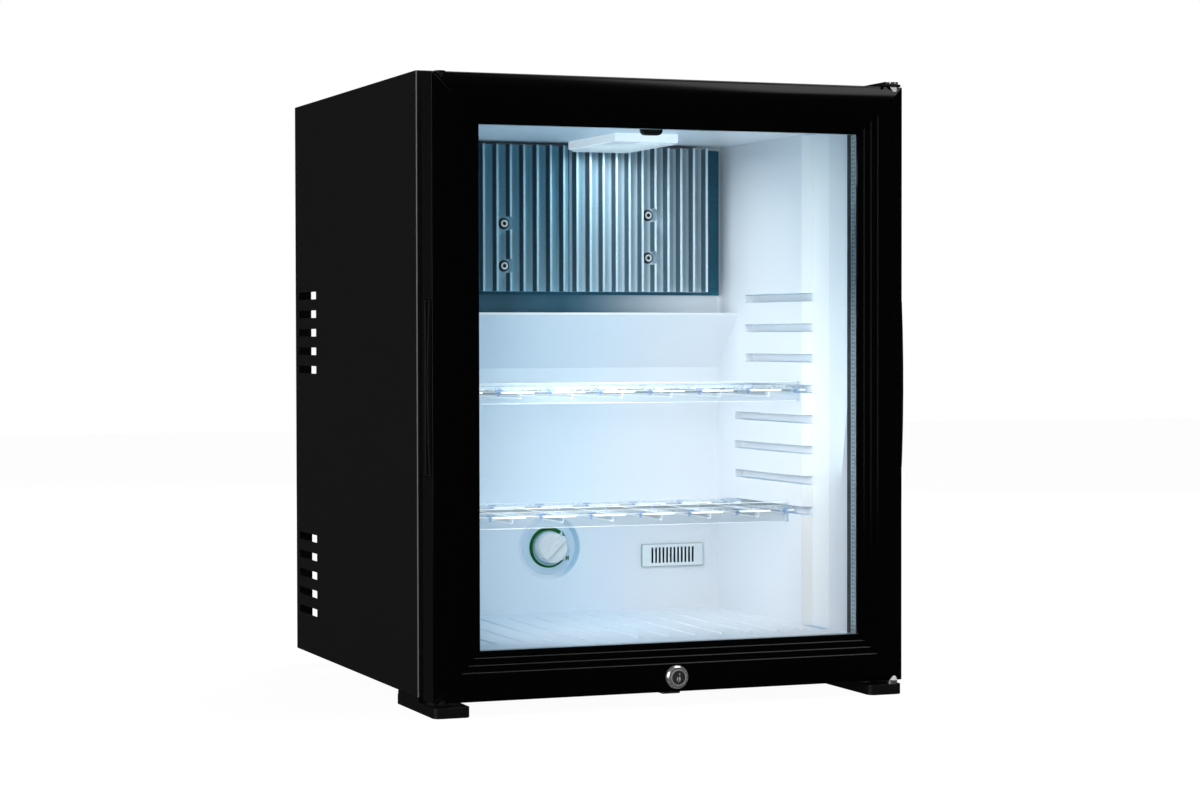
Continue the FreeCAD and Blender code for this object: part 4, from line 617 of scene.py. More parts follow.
def gasket(paint, look):
    """Soft vinyl gasket with a talc bloom in its folds."""
    bloom = paint.noise(140.0, 4.0)
    colour = paint.blend(bloom.smooth(0.5, 0.85), shade(look.rubber, 0.25), shade(look.rubber, 0.6))
    return paint.skin(colour, 0.60 + bloom * 0.15, paint.relief(bloom, 0.00006), Specular_IOR_Level=0.1)


def foot_rubber(paint, look):
    """Moulded rubber, scuffed pale where it is handled."""
    scuff = paint.noise(95.0, 4.0)
    grain = paint.cells(1300.0)
    colour = paint.blend(scuff.smooth(0.55, 0.8) * 0.5, look.rubber, shade(look.rubber, 3.0))
    return paint.skin(colour, 0.46 + scuff * 0.2, paint.relief(grain, 0.00004), Specular_IOR_Level=0.35)


def foam(paint, look):
    """Poured rigid foam: open cells under a torn skin."""
    bubbles = paint.cells(900.0)
    crumb = paint.noise(70.0, 4.0)
    colour = paint.blend(crumb, shade(look.foam, 0.72), look.foam)
    colour = paint.blend(bubbles.smooth(0.1, 0.5) * 0.4, colour, shade(look.foam, 0.5))
    return paint.skin(colour, 0.82 + crumb * 0.1, paint.relief(bubbles, 0.0003))


def zinc_steel(paint, look):
    """Bright zinc plating with a faint rainbow passivation."""
    cloud = paint.noise(160.0, 3.0)
    fine = paint.noise(1500.0, 2.0)
    colour = paint.blend(cloud.smooth(0.35, 0.7), look.zinc, (0.62, 0.60, 0.50))
    return paint.skin(colour, 0.26 + fine * 0.14, paint.relief(fine, 0.00002), Metallic=0.95)


def black_steel(paint, look):
    """Pressed steel under thin black paint, rubbed along its edges."""
    peel = paint.noise(1300.0, 2.0)
    rub = paint.noise(210.0, 4.0).smooth(0.66, 0.76)
    colour = paint.blend(peel, shade(look.steel, 0.8), shade(look.steel, 1.5))
    colour = paint.blend(rub * 0.35, colour, (0.16, 0.16, 0.16))
    return paint.skin(colour, 0.36 + peel * 0.12, paint.relief(peel, 0.00003), Metallic=rub * 0.5)


def chrome(paint, look):
    """Polished plating with hairline turning marks."""
    turned = paint.noise(2600.0, 2.0, (1.0, 0.05, 1.0))
    tarnish = paint.noise(120.0, 3.0)
    colour = paint.blend(tarnish.smooth(0.4, 0.8), look.chrome, shade(look.chrome, 0.72))
    return paint.skin(colour, 0.20 + turned * 0.12, paint.relief(turned, 0.000006), Metallic=0.8)


def lock_disc(paint, look):
    """Plug of the lock: dark satin face, polished rim and a painted highlight in the keyway."""
    low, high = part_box("lock_plug")
    across, _, up = paint.axes()
    over = up - (low.z + high.z) / 2.0
    reach = (across ** 2.0 + over ** 2.0) ** 0.5
    turned = paint.noise(1800.0, 2.0)
    spots = ((across - 0.0004) ** 2.0 + (over - 0.0026) ** 2.0) ** 0.5
    lower = (across ** 2.0 + ((over + 0.0012) * 0.62) ** 2.0) ** 0.5
    # Painted highlight: the keyway is painted bright.
    keyway = 1.0 - spots.smooth(0.0006, 0.0011) * lower.smooth(0.0011, 0.0017)
    rim = reach.smooth(0.0054, 0.0059)
    colour = paint.blend(turned, (0.020, 0.020, 0.022), (0.055, 0.055, 0.058))
    colour = paint.blend(keyway.larger(rim * 0.5), colour, (0.90, 0.91, 0.92))
    return paint.skin(colour, 0.24 + turned * 0.12, paint.relief(turned, 0.00001), Metallic=0.25)


def strike_steel(paint, look):
    """Strike plate: black paint, with a painted highlight along every edge."""
    level, ahead, above = (abs(part) for part in paint.normal())
    flat = level.larger(ahead).larger(above)
    # Painted highlight along every edge.
    rim = 1.0 - flat.smooth(0.88, 0.98)
    peel = paint.noise(1300.0, 2.0)
    colour = paint.blend(peel, (0.010, 0.010, 0.010), (0.030, 0.030, 0.030))
    colour = paint.blend(rim, colour, (0.85, 0.85, 0.86))
    return paint.skin(colour, 0.32 + peel * 0.12, paint.relief(peel, 0.00002), Metallic=0.1)


def galvanised(paint, look):
    """Hot-dipped sheet with its spangle."""
    spangle = paint.cells(75.0, out="Color")
    grey = paint.node("SeparateXYZ", sockets={0: spangle})
    scratch = paint.noise(800.0, 2.0, (0.02, 1.0, 1.0))
    colour = paint.blend(grey, shade(look.galvanised, 0.75), shade(look.galvanised, 1.15))
    return paint.skin(colour, 0.34 + grey * 0.18, paint.relief(scratch, 0.00002), Metallic=0.8)


def foil(paint, look):
    """Crumpled aluminium tape round the heater jacket."""
    crush = paint.cells(170.0, feature="F2")
    fine = paint.noise(600.0, 3.0)
    colour = paint.blend(crush, shade(look.foil, 0.8), look.foil)
    return paint.skin(colour, 0.22 + fine * 0.16, paint.relief(crush, 0.0008), Metallic=0.95)


def black_tube(paint, look):
    """Dip-painted steel tube with runs in the paint."""
    run = paint.noise(130.0, 3.0, (1.0, 1.0, 0.35))
    fleck = paint.noise(900.0, 2.0).smooth(0.64, 0.72)
    colour = paint.blend(run, shade(look.plastic, 0.8), shade(look.plastic, 1.9))
    colour = paint.blend(fleck * 0.4, colour, (0.10, 0.10, 0.10))
    return paint.skin(colour, 0.28 + run * 0.2, paint.relief(run, 0.00015), Specular_IOR_Level=0.45)


def board(paint, look):
    """White lamp board with a woven base and rows of light chips."""
    across, along, _ = paint.axes()
    weave = ((along % 0.0012) - 0.0006) * ((across % 0.0012) - 0.0006) > 0.0
    row = abs((along % 0.0120) - 0.0060) < 0.0014
    chip = row * (abs(across - 0.035) < 0.0016)
    colour = paint.blend(weave * 0.12, (0.70, 0.74, 0.72), (0.52, 0.58, 0.55))
    colour = paint.blend(chip, colour, (0.85, 0.78, 0.30))
    return paint.skin(colour, 0.4 + weave * 0.05)


FINISHES = {recipe.__name__: recipe for recipe in (
    cabinet_steel, door_profile, black_plastic, white_liner, white_trim, clear_plastic, lamp_case,
    lamp_plastic, dial_plate, dial_grip, filter_felt, slotted_cover, lock_disc, strike_steel, fin_screw,
    green_print, glass, spacer_aluminium, fin_aluminium, plate_aluminium, gasket, foam, zinc_steel,
    black_steel, chrome, galvanised, foil, black_tube, board, foot_rubber,
)}


def finish(slot):
    """The material of a slot, made when it is first asked for."""
    made = bpy.data.materials.get("fridge_" + slot)
    if made is None:
        made = bpy.data.materials.new("fridge_" + slot)
        made.use_nodes = True
        paint = Finish(made.node_tree)
        paint.surface(FINISHES[slot](paint, bpy.context.scene.fridge_finishes))
    return made


# Meshes and pieces.


def slot_of(node):
    """The material slot that the record gives a node."""
    for part in frame["record"]["subparts"]:
        if part["node"] == node:
            return part["material_slot"]
    raise KeyError(node)


def body_of(node):
    """The moving body that a node belongs to."""
    for body, nodes in frame["record"]["behaviour"]["bodies"].items():
        if node in nodes:
            return body
    raise KeyError(node)


def coat(*nodes):
    """Gives nodes whose shape is right the finish of their slots."""
    for node in nodes:
        shell = frame["nodes"][node]
        shell.data.materials.clear()
        shell.data.materials.append(finish(slot_of(node)))


def add_piece(name, mesh, body, slot, replaced=(), material=None):
    """Puts a mesh in the scene, on its body and in its slot."""
    piece = bpy.data.objects.new(name, mesh)
    bpy.context.scene.collection.objects.link(piece)
    mesh.materials.clear()
    mesh.materials.append(finish(material or slot))
    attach(piece, body)
    if replaced:
        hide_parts(*replaced)
    return piece


def to_mesh(work, name):
    """A plain smooth mesh from worked faces, with no old layers on it."""
    work.verts.index_update()
    points = [vert.co.copy() for vert in work.verts]
    faces = [[vert.index for vert in face.verts] for face in work.faces]
    work.free()
    mesh = bpy.data.meshes.new(name)
    mesh.from_pydata(points, [], faces)
    mesh.polygons.foreach_set("use_smooth", [True] * len(faces))
    mesh.update()
    return mesh


def welded(node):
    """The faces of a node, joined along their edges and merged where flat."""
    work = bmesh.new()
    work.from_mesh(frame["nodes"][node].data)
    bmesh.ops.remove_doubles(work, verts=work.verts, dist=WELD)
    bmesh.ops.dissolve_limit(work, angle_limit=FLAT_ANGLE, verts=work.verts, edges=work.edges)
    bmesh.ops.connect_verts_concave(work, faces=work.faces)
    return work


def soften(piece, edge, outer=None, rounds=2):
    """Breaks the sharp edges of a piece, those along its own box by the outer radius."""
    outer = outer or edge
    work = bmesh.new()
    work.from_mesh(piece.data)
    low = [min(vert.co[axis] for vert in work.verts) + WELD for axis in range(3)]
    high = [max(vert.co[axis] for vert in work.verts) - WELD for axis in range(3)]
    weight = work.edges.layers.float.new("bevel_weight_edge")
    for line in work.edges:
        if line.calc_face_angle(0.0) < SHARP_ANGLE:
            continue
        first, second = (vert.co for vert in line.verts)
        met = sum(max(first[axis], second[axis]) < low[axis] or min(first[axis], second[axis]) > high[axis]
                  for axis in range(3))
        line[weight] = 1.0 if met >= 2 else edge / outer
    work.to_mesh(piece.data)
    work.free()
    bevel = piece.modifiers.new("edges", "BEVEL")
    bevel.width = outer
    bevel.segments = rounds
    bevel.limit_method = "WEIGHT"
    bevel.harden_normals = True
    bevel.use_clamp_overlap = False
    bevel.miter_outer = "MITER_ARC"


def dress(name, node, edge, outer=None, material=None):
    """A piece with the node's shape, broken corners and its own finish."""
    mesh = to_mesh(welded(node), name)
    piece = add_piece(name, mesh, body_of(node), slot_of(node), (node,), material)
    soften(piece, edge, outer)


def islands(node):
    """The boxes of the separate solids in a node, as (low, high) corners."""
    work = welded(node)
    left = set(work.verts)
    found = []
    while left:
        stack = [left.pop()]
        group = []
        while stack:
            vert = stack.pop()
            group.append(vert.co.copy())
            for edge in vert.link_edges:
                other = edge.other_vert(vert)
                if other in left:
                    left.remove(other)
                    stack.append(other)
        low = Vector(min(point[axis] for point in group) for axis in range(3))
        high = Vector(max(point[axis] for point in group) for axis in range(3))
        found.append((low, high))
    work.free()
    return sorted(found, key=lambda box: tuple(round(value, 5) for value in box[0]))


def ring(work, radius, height, count=28):
    """A ring of points round the screw's axis."""
    turn = math.tau / count
    return [work.verts.new((radius * math.cos(turn * i), radius * math.sin(turn * i), height))
            for i in range(count)]


def band(work, lower, upper):
    """Faces between two rings with the same number of points."""
    count = len(lower)
    for i in range(count):
        j = (i + 1) % count
        work.faces.new((lower[i], lower[j], upper[j], upper[i]))


def cross_screw(work, head_radius, head_height, shank_radius, length, place):
    """One pan-head screw with a cross recess, its head up along +Z, moved by place."""
    start = len(work.verts)
    rows = (
        (shank_radius * 0.2, -length), (shank_radius, -length + shank_radius), (shank_radius, 0.0),
        (head_radius, 0.0), (head_radius, head_height * 0.38), (head_radius * 0.93, head_height * 0.70),
        (head_radius * 0.78, head_height * 0.92), (head_radius * 0.60, head_height),
    )
    rings = [ring(work, radius, height) for radius, height in rows]
    for lower, upper in zip(rings, rings[1:]):
        band(work, lower, upper)
    work.faces.new(list(reversed(rings[0])))
    arm = head_radius * 0.48
    half = head_radius * 0.10
    outline = []
    for quarter in range(4):
        turn = Matrix.Rotation(math.radians(90 * quarter + 20), 3, "Z")
        for x, y in ((half, -half), (arm, -half), (arm, half)):
            outline.append(turn @ Vector((x, y, 0.0)))
    lip = [work.verts.new((point.x, point.y, head_height)) for point in outline]
    pit = [work.verts.new((point.x * 0.8, point.y * 0.8, head_height * 0.25)) for point in outline]
    edges = []
    for loop in (rings[-1], lip):
        for i, vert in enumerate(loop):
            pair = (vert, loop[(i + 1) % len(loop)])
            edges.append(work.edges.get(pair) or work.edges.new(pair))
    bmesh.ops.triangle_fill(work, use_beauty=True, use_dissolve=False, edges=edges, normal=(0.0, 0.0, 1.0))
    band(work, pit, lip)
    work.faces.new(list(reversed(pit)))
    work.verts.ensure_lookup_table()
    for vert in work.verts[start:]:
        vert.co = place @ vert.co


def screws(name, node, facing, head_share, edge, material=None):
    """Cross-head screws in the places of a node's solids, with heads towards facing."""
    work = bmesh.new()
    toward = Vector(facing)
    turn = toward.to_track_quat("Z", "Y").to_matrix().to_4x4()
    for low, high in islands(node):
        size = high - low
        long = abs(size.dot(toward))
        wide = max(abs(value) for value in size.cross(toward))
        head = wide / 2.0
        height = head * head_share
        middle = (low + high) / 2.0
        seat = middle + toward * (long / 2.0 - height)
        place = Matrix.Translation(seat) @ turn
        cross_screw(work, head, height, head * 0.5, long - height, place)
    bmesh.ops.recalc_face_normals(work, faces=work.faces)
    piece = add_piece(name, to_mesh(work, name), body_of(node), slot_of(node), (node,), material)
    soften(piece, edge, rounds=1)


def prism(work, outline, front, back):
    """A flat shape in the wall's plane, from a ring of (across, up) points, with thickness."""
    near = [work.verts.new((across, front, up)) for across, up in outline]
    far = [work.verts.new((across, back, up)) for across, up in outline]
    count = len(outline)
    work.faces.new(near)
    work.faces.new(list(reversed(far)))
    for i in range(count):
        j = (i + 1) % count
        work.faces.new((near[j], near[i], far[i], far[j]))


def tapered_scale(work, centre, radius, front, back):
    """The curved scale of the dial, wide from the low mark round to the left and thin at the high mark."""
    steps = 90
    outer, inner = [], []
    for i in range(steps + 1):
        turn = SCALE_START + (SCALE_END - SCALE_START) * i / steps
        taper = min(1.0, max(0.0, (turn - 180.0) / (SCALE_END - 180.0)))
        width = SCALE_WIDE + (SCALE_THIN - SCALE_WIDE) * taper
        angle = math.radians(turn)
        for row, reach in ((outer, radius), (inner, radius - width)):
            row.append((centre[0] + reach * math.cos(angle), centre[1] + reach * math.sin(angle)))
    for i in range(steps):
        prism(work, (outer[i], outer[i + 1], inner[i + 1], inner[i]), front, back)


def letter(work, strokes, centre, front, back):
    """A letter of upright and level strokes, each (left, right, low, high) from its middle."""
    for left, right, low, high in strokes:
        corners = ((left, low), (right, low), (right, high), (left, high))
        prism(work, [(centre[0] + x, centre[1] + z) for x, z in corners], front, back)


# Settings.


def colour(name, description, default):
    """A colour setting."""
    return FloatVectorProperty(name=name, description=description, subtype="COLOR", size=3,
                               min=0.0, max=1.0, default=default)


def length(name, description, default):
    """A length setting in metres."""
    return FloatProperty(name=name, description=description, subtype="DISTANCE", unit="LENGTH",
                         min=0.0, default=default, precision=5)


def power(name, description, default):
    """A lamp power setting."""
    return FloatProperty(name=name, description=description, unit="POWER", min=0.0, default=default)


def share(name, description, default):
    """A setting from 0 to 1."""
    return FloatProperty(name=name, description=description, subtype="FACTOR",
                         min=0.0, max=1.0, default=default)


class FridgeFinishes(bpy.types.PropertyGroup):
    """Colours of the finishes."""

    steel: colour("Cabinet steel", "Enamel of the cabinet", (0.0085, 0.0081, 0.0088))
    profile: colour("Door profile", "Colour of the door mouldings", (0.0007, 0.0007, 0.0008))
    plastic: colour("Black plastic", "Handles, grilles and terminal box", (0.0045, 0.0045, 0.0048))
    liner: colour("Liner", "Vacuum-formed inner liner", (0.71, 0.835, 0.945))
    trim: colour("White trim", "Lamp housing, dial and sensor cover", (0.80, 0.87, 0.90))
    clear: colour("Clear plastic", "Tint that the shelves let through", (0.985, 0.995, 1.0))
    print: colour("Dial print", "Green scale and letters of the dial", (0.001, 0.100, 0.012))
    glass: colour("Glass", "Tint that each face of a pane lets through", (0.985, 0.99, 0.99))
    spacer: colour("Spacer", "Bar between the panes", (0.60, 0.64, 0.66))
    # Fin colours: lit and shaded copies of the faces, a painted highlight for the tips and painted shade for
    # the flanks.
    fins: colour("Cooling fins", "Faces between the fins near the lamp", (0.44, 0.58, 0.69))
    fins_shaded: colour("Shaded fins", "Faces between the fins away from the lamp", (0.14, 0.41, 0.58))
    fin_tips: colour("Fin tips", "Bright front edges of the fins", (0.86, 0.95, 1.0))
    fin_flanks: colour("Fin flanks", "Dark sides of the fins", (0.004, 0.055, 0.085))
    # Painted shade: the cold plate's dark teal.
    plate: colour("Cold plate", "Plate behind the fins", (0.010, 0.120, 0.190))
    rubber: colour("Rubber", "Gasket and feet", (0.0060, 0.0060, 0.0065))
    foam: colour("Foam", "Insulation", (0.62, 0.50, 0.28))
    zinc: colour("Zinc", "Screws and pins", (0.58, 0.62, 0.66))
    chrome: colour("Chrome", "Lock", (0.74, 0.76, 0.78))
    galvanised: colour("Galvanised sheet", "Rear panel", (0.36, 0.38, 0.40))
    foil: colour("Foil", "Heater jacket", (0.62, 0.63, 0.64))
    lens_glow: share("Lens glow", "How bright the lamp lens looks", 0.30)
    # Painted glow on the lamp housing, which brightens it as light falling on it would.
    case_painted_glow: share("Housing glow", "How far the lamp shines through its housing", 0.38)


class FridgeSizes(bpy.types.PropertyGroup):
    """Radii of the broken corners, and the print on the dial."""

    sheet_edge: length("Outer edge", "Outer corners of the steel shell and the door", 0.0009)
    profile_edge: length("Profile edge", "Corners of the door mouldings", 0.0004)
    moulded_edge: length("Moulded edge", "Corners of moulded plastic", 0.0005)
    liner_edge: length("Liner edge", "Corners of the formed liner", 0.0006)
    small_edge: length("Small edge", "Corners of small metal pieces", 0.0002)
    shelf_edge: length("Shelf edge", "Polished edges of the clear shelves", 0.0008)
    letter_height: length("Letter height", "Letters L and H on the dial", 0.0036)
    letter_stroke: length("Letter stroke", "Width of a letter's strokes", 0.0008)


class FridgeStudio(bpy.types.PropertyGroup):
    """Light, floor and background."""

    floor_half: length("Floor", "Half the width of the floor", 6.0)
    fill: share("Fill", "Even light from all round", 0.22)
    gloss_share: share("Gloss share", "How much of the background glossy pieces show", 0.03)
    floor_glow: share("Floor glow", "How far the floor matches the background", 0.92)
    key: power("Key lamp", "Soft lamp at the front left", 14.0)
    side: power("Side lamp", "Strip lamp at the left", 20.0)
    top: power("Top lamp", "Soft lamp overhead", 20.0)
    rear: power("Rear lamp", "Soft lamp behind the cabinet", 70.0)
    sheen: power("Sheen lamp", "Lamp that the door's top moulding mirrors", 8.0)
    inside: power("Inside lamp", "Lamp under the fridge's own lens", 0.203)
    mouth: power("Mouth lamp", "Even light into the open front of the liner", 0.32)
    corner: power("Corner lamp", "Whiter light towards the liner's lower right", 0.27)


# Stage.


def camera_axes():
    """Right, up and backward directions of the camera."""
    yaw, pitch, roll = (math.radians(angle) for angle in (CAMERA_YAW, CAMERA_PITCH, CAMERA_ROLL))
    forward = Vector((math.sin(yaw) * math.cos(pitch), math.cos(yaw) * math.cos(pitch), -math.sin(pitch)))
    level = Vector((math.cos(yaw), -math.sin(yaw), 0.0))
    down = forward.cross(level)
    right = level * math.cos(roll) + down * math.sin(roll)
    down = down * math.cos(roll) - level * math.sin(roll)
    return right, -down, -forward


def add_camera():
    """The camera at the picture's place and angle."""
    camera = bpy.data.cameras.new("picture_camera")
    camera.sensor_fit = "HORIZONTAL"
    camera.sensor_width = FILM_WIDTH
    camera.lens = CAMERA_LENS
    camera.clip_start = 0.05
    camera.clip_end = 100.0
    holder = bpy.data.objects.new("picture_camera", camera)
    bpy.context.scene.collection.objects.link(holder)
    right, up, back = camera_axes()
    place = Matrix((right, up, back)).transposed().to_4x4()
    place.translation = CAMERA_PLACE
    holder.matrix_world = place
    bpy.context.scene.camera = holder


def add_lamp(name, place, aim, size, energy, tint, seen, spread=180.0):
    """A rectangular soft lamp that points at aim."""
    lamp = bpy.data.lights.new(name, "AREA")
    lamp.shape = "RECTANGLE"
    lamp.size, lamp.size_y = size
    lamp.energy = energy
    lamp.color = tint
    lamp.spread = math.radians(spread)
    holder = bpy.data.objects.new(name, lamp)
    bpy.context.scene.collection.objects.link(holder)
    direction = Vector(aim) - Vector(place)
    holder.matrix_world = Matrix.Translation(place) @ direction.to_track_quat("-Z", "Y").to_matrix().to_4x4()
    holder.visible_camera = False
    holder.visible_glossy = seen


def add_world(scene, studio):
    """White to the camera and to panes, dim to glossy pieces, and an even weak light for the rest."""
    world = bpy.data.worlds.new("studio")
    world.use_nodes = True
    scene.world = world
    paint = Finish(world.node_tree)
    path = paint.node("LightPath", out="Is Camera Ray")
    seen = path + path.output("Is Transmission Ray") + path.output("Is Glossy Ray") * studio.gloss_share
    hidden = 1.0 - path.output("Is Camera Ray") - path.output("Is Glossy Ray")
    strength = seen + hidden.larger(0.0) * studio.fill
    sky = paint.node("Background", sockets={"Color": paint.opaque(WHITE), "Strength": strength})
    paint.node("OutputWorld", sockets={"Surface": sky})


def add_floor(scene, studio):
    """A plain pale floor that keeps the fridge's shadow and is nearly white to the camera."""
    half = studio.floor_half
    mesh = bpy.data.meshes.new("floor")
    mesh.from_pydata([(-half, -half, 0.0), (half, -half, 0.0), (half, half, 0.0), (-half, half, 0.0)], [],
                     [(0, 1, 2, 3)])
    floor = bpy.data.objects.new("floor", mesh)
    scene.collection.objects.link(floor)
    floor.location.z = -FLOOR_DROP
    made = bpy.data.materials.new("studio_floor")
    made.use_nodes = True
    paint = Finish(made.node_tree)
    path = paint.node("LightPath", out="Is Camera Ray")
    cloud = paint.noise(3.0, 3.0)
    grey = paint.blend(cloud, (0.80, 0.80, 0.80), (0.84, 0.84, 0.84))
    matt = paint.node("BsdfDiffuse", sockets={"Color": grey})
    glow = paint.node("Emission", sockets={"Color": paint.opaque(WHITE), "Strength": FLOOR_WHITE})
    dim = paint.node("Emission", sockets={"Color": paint.opaque(WHITE), "Strength": studio.gloss_share})
    shown = paint.film(path * studio.floor_glow, matt, glow)
    paint.surface(paint.film(path.output("Is Glossy Ray"), shown, dim))
    mesh.materials.append(made)


def add_inner_lamps(studio):
    """Lamps inside the liner: under the lens, in its mouth and at its left towards the lower right."""
    low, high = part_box("lamp_lens")
    middle = ((low.x + high.x) / 2.0, (low.y + high.y) / 2.0, low.z - 0.002)
    size = ((high.x - low.x) * 0.8, (high.y - low.y) * 0.85)
    add_lamp("fridge_lamp", middle, (middle[0], middle[1] + 0.0001, 0.0), size, studio.inside,
             (0.93, 0.98, 1.0), False)
    low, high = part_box("inner_liner")
    mouth = ((low.x + high.x) / 2.0 + 0.02, low.y + 0.004, (low.z + high.z) / 2.0 + 0.06)
    size = ((high.x - low.x) * 0.78, (high.z - low.z) * 0.56)
    add_lamp("mouth_lamp", mouth, (mouth[0] + 0.03, 0.1, mouth[2] + 0.05), size, studio.mouth,
             (0.74, 0.91, 0.98), False)
    corner = (low.x + 0.085, low.y + 0.006, low.z + 0.22)
    add_lamp("corner_lamp", corner, (0.17, 0.05, 0.10), (0.06, 0.24), studio.corner,
             (1.0, 0.93, 0.88), False, 105.0)


class FRIDGE_OT_stage(bpy.types.Operator):
    """Sets the floor, the background, the lamps and the camera"""

    bl_idname = "fridge.stage"
    bl_label = "Stage"

    def execute(self, context):
        studio = context.scene.fridge_studio
        context.scene.view_settings.view_transform = "Standard"
        add_world(context.scene, studio)
        add_floor(context.scene, studio)
        for name, place, aim, size, tint, seen in LAMPS:
            add_lamp(name + "_lamp", place, aim, size, getattr(studio, name), tint, seen)
        add_inner_lamps(studio)
        add_camera()
        return {"FINISHED"}


# Operators, one for each piece or group of like pieces.


class FRIDGE_OT_cabinet(bpy.types.Operator):
    """Dresses the steel shell, the bottom, the rear crossbar and the rear panel"""

    bl_idname = "fridge.cabinet"
    bl_label = "Cabinet"

    def execute(self, context):
        sizes = context.scene.fridge_sizes
        dress("cabinet_shell", "outer_shell", sizes.small_edge, sizes.sheet_edge)
        dress("cabinet_bottom", "bottom_panel", sizes.small_edge)
        dress("cabinet_crossbar", "rear_crossbar", sizes.small_edge)
        dress("cabinet_back", "rear_panel", sizes.small_edge)
        coat("insulation")
        screws("cabinet_base_screws", "base_screws", (0.0, 0.0, -1.0), 0.55, sizes.small_edge / 2.0)
        return {"FINISHED"}


class FRIDGE_OT_liner(bpy.types.Operator):
    """Dresses the vacuum-formed liner with its shelf grooves and ribbed floor"""

    bl_idname = "fridge.liner"
    bl_label = "Liner"

    def execute(self, context):
        sizes = context.scene.fridge_sizes
        dress("formed_liner", "inner_liner", sizes.liner_edge)
        return {"FINISHED"}


class FRIDGE_OT_door_frame(bpy.types.Operator):
    """Dresses the four door mouldings, the rear frame and its corner keys"""

    bl_idname = "fridge.door_frame"
    bl_label = "Door frame"

    def execute(self, context):
        sizes = context.scene.fridge_sizes
        for side in ("left", "right", "top", "bottom"):
            dress("door_moulding_" + side, "door_frame_" + side, sizes.profile_edge, sizes.sheet_edge)
        dress("door_back_frame", "door_rear_frame", sizes.profile_edge)
        dress("door_hole_plugs", "hinge_hole_plugs", sizes.small_edge)
        coat("corner_keys", "hinge_bushes")
        return {"FINISHED"}


class FRIDGE_OT_glazing(bpy.types.Operator):
    """Dresses the two panes and the perforated bar between them"""

    bl_idname = "fridge.glazing"
    bl_label = "Glazing"

    def execute(self, context):
        sizes = context.scene.fridge_sizes
        dress("glazing_front", "front_pane", sizes.small_edge)
        dress("glazing_rear", "rear_pane", sizes.small_edge)
        coat("glazing_spacer")
        return {"FINISHED"}


class FRIDGE_OT_gasket(bpy.types.Operator):
    """Dresses the soft gasket on the back of the door"""

    bl_idname = "fridge.gasket"
    bl_label = "Gasket"

    def execute(self, context):
        sizes = context.scene.fridge_sizes
        dress("door_seal", "door_gasket", sizes.profile_edge)
        return {"FINISHED"}


class FRIDGE_OT_handles(bpy.types.Operator):
    """Dresses the bowed lips of the two edge handles"""

    bl_idname = "fridge.handles"
    bl_label = "Handles"

    def execute(self, context):
        sizes = context.scene.fridge_sizes
        dress("grip_left", "handle_left", sizes.moulded_edge)
        dress("grip_right", "handle_right", sizes.moulded_edge)
        return {"FINISHED"}


class FRIDGE_OT_lock(bpy.types.Operator):
    """Dresses the lock barrel, its turning plug and cam, and the strike plate"""

    bl_idname = "fridge.lock"
    bl_label = "Lock"

    def execute(self, context):
        sizes = context.scene.fridge_sizes
        dress("lock_ring", "lock_barrel", sizes.small_edge)
        dress("lock_face", "lock_plug", sizes.small_edge / 2.0, material="lock_disc")
        dress("lock_tongue", "lock_cam", sizes.small_edge)
        dress("lock_strike", "strike_plate", sizes.moulded_edge, material="strike_steel")
        return {"FINISHED"}


class FRIDGE_OT_hinges(bpy.types.Operator):
    """Dresses the top hinge bracket, the pins and their screws"""

    bl_idname = "fridge.hinges"
    bl_label = "Hinges"

    def execute(self, context):
        sizes = context.scene.fridge_sizes
        dress("hinge_top_bracket", "top_hinge_bracket", sizes.small_edge)
        dress("hinge_pin_set", "hinge_pins", sizes.small_edge)
        screws("hinge_bracket_screws", "hinge_screws", (0.0, 0.0, 1.0), 0.5, sizes.small_edge / 2.0)
        return {"FINISHED"}


class FRIDGE_OT_feet(bpy.types.Operator):
    """Dresses the moulded foot, the hinge foot and the rear feet"""

    bl_idname = "fridge.feet"
    bl_label = "Feet"

    def execute(self, context):
        sizes = context.scene.fridge_sizes
        dress("foot_front_left", "front_foot", sizes.moulded_edge)
        dress("foot_hinge_side", "hinge_foot", sizes.small_edge)
        dress("feet_rear", "rear_feet", sizes.moulded_edge)
        return {"FINISHED"}


class FRIDGE_OT_cooling_plate(bpy.types.Operator):
    """Dresses the finned plate, its screws and the coil clamped behind it"""

    bl_idname = "fridge.cooling_plate"
    bl_label = "Cooling plate"

    def execute(self, context):
        sizes = context.scene.fridge_sizes
        dress("cooling_fins_left", "evaporator_fins_left", sizes.small_edge)
        dress("cooling_fins_right", "evaporator_fins_right", sizes.small_edge)
        dress("cooling_plate", "evaporator_plate", sizes.small_edge)
        screws("cooling_screws", "evaporator_screws", (0.0, -1.0, 0.0), 0.42, sizes.small_edge / 2.0,
               "fin_screw")
        coat("evaporator_coil", "evaporator_clamps", "drain_tube")
        dress("drain_cup", "drip_cup", sizes.small_edge)
        return {"FINISHED"}


class FRIDGE_OT_lamp(bpy.types.Operator):
    """Dresses the lamp housing with its lens and board, and the door switch"""

    bl_idname = "fridge.lamp"
    bl_label = "Lamp"

    def execute(self, context):
        sizes = context.scene.fridge_sizes
        dress("lamp_case", "lamp_housing", sizes.moulded_edge, material="lamp_case")
        dress("lamp_cover", "lamp_lens", sizes.moulded_edge, material="lamp_plastic")
        dress("lamp_switch", "door_switch", sizes.moulded_edge)
        coat("lamp_board")
        return {"FINISHED"}


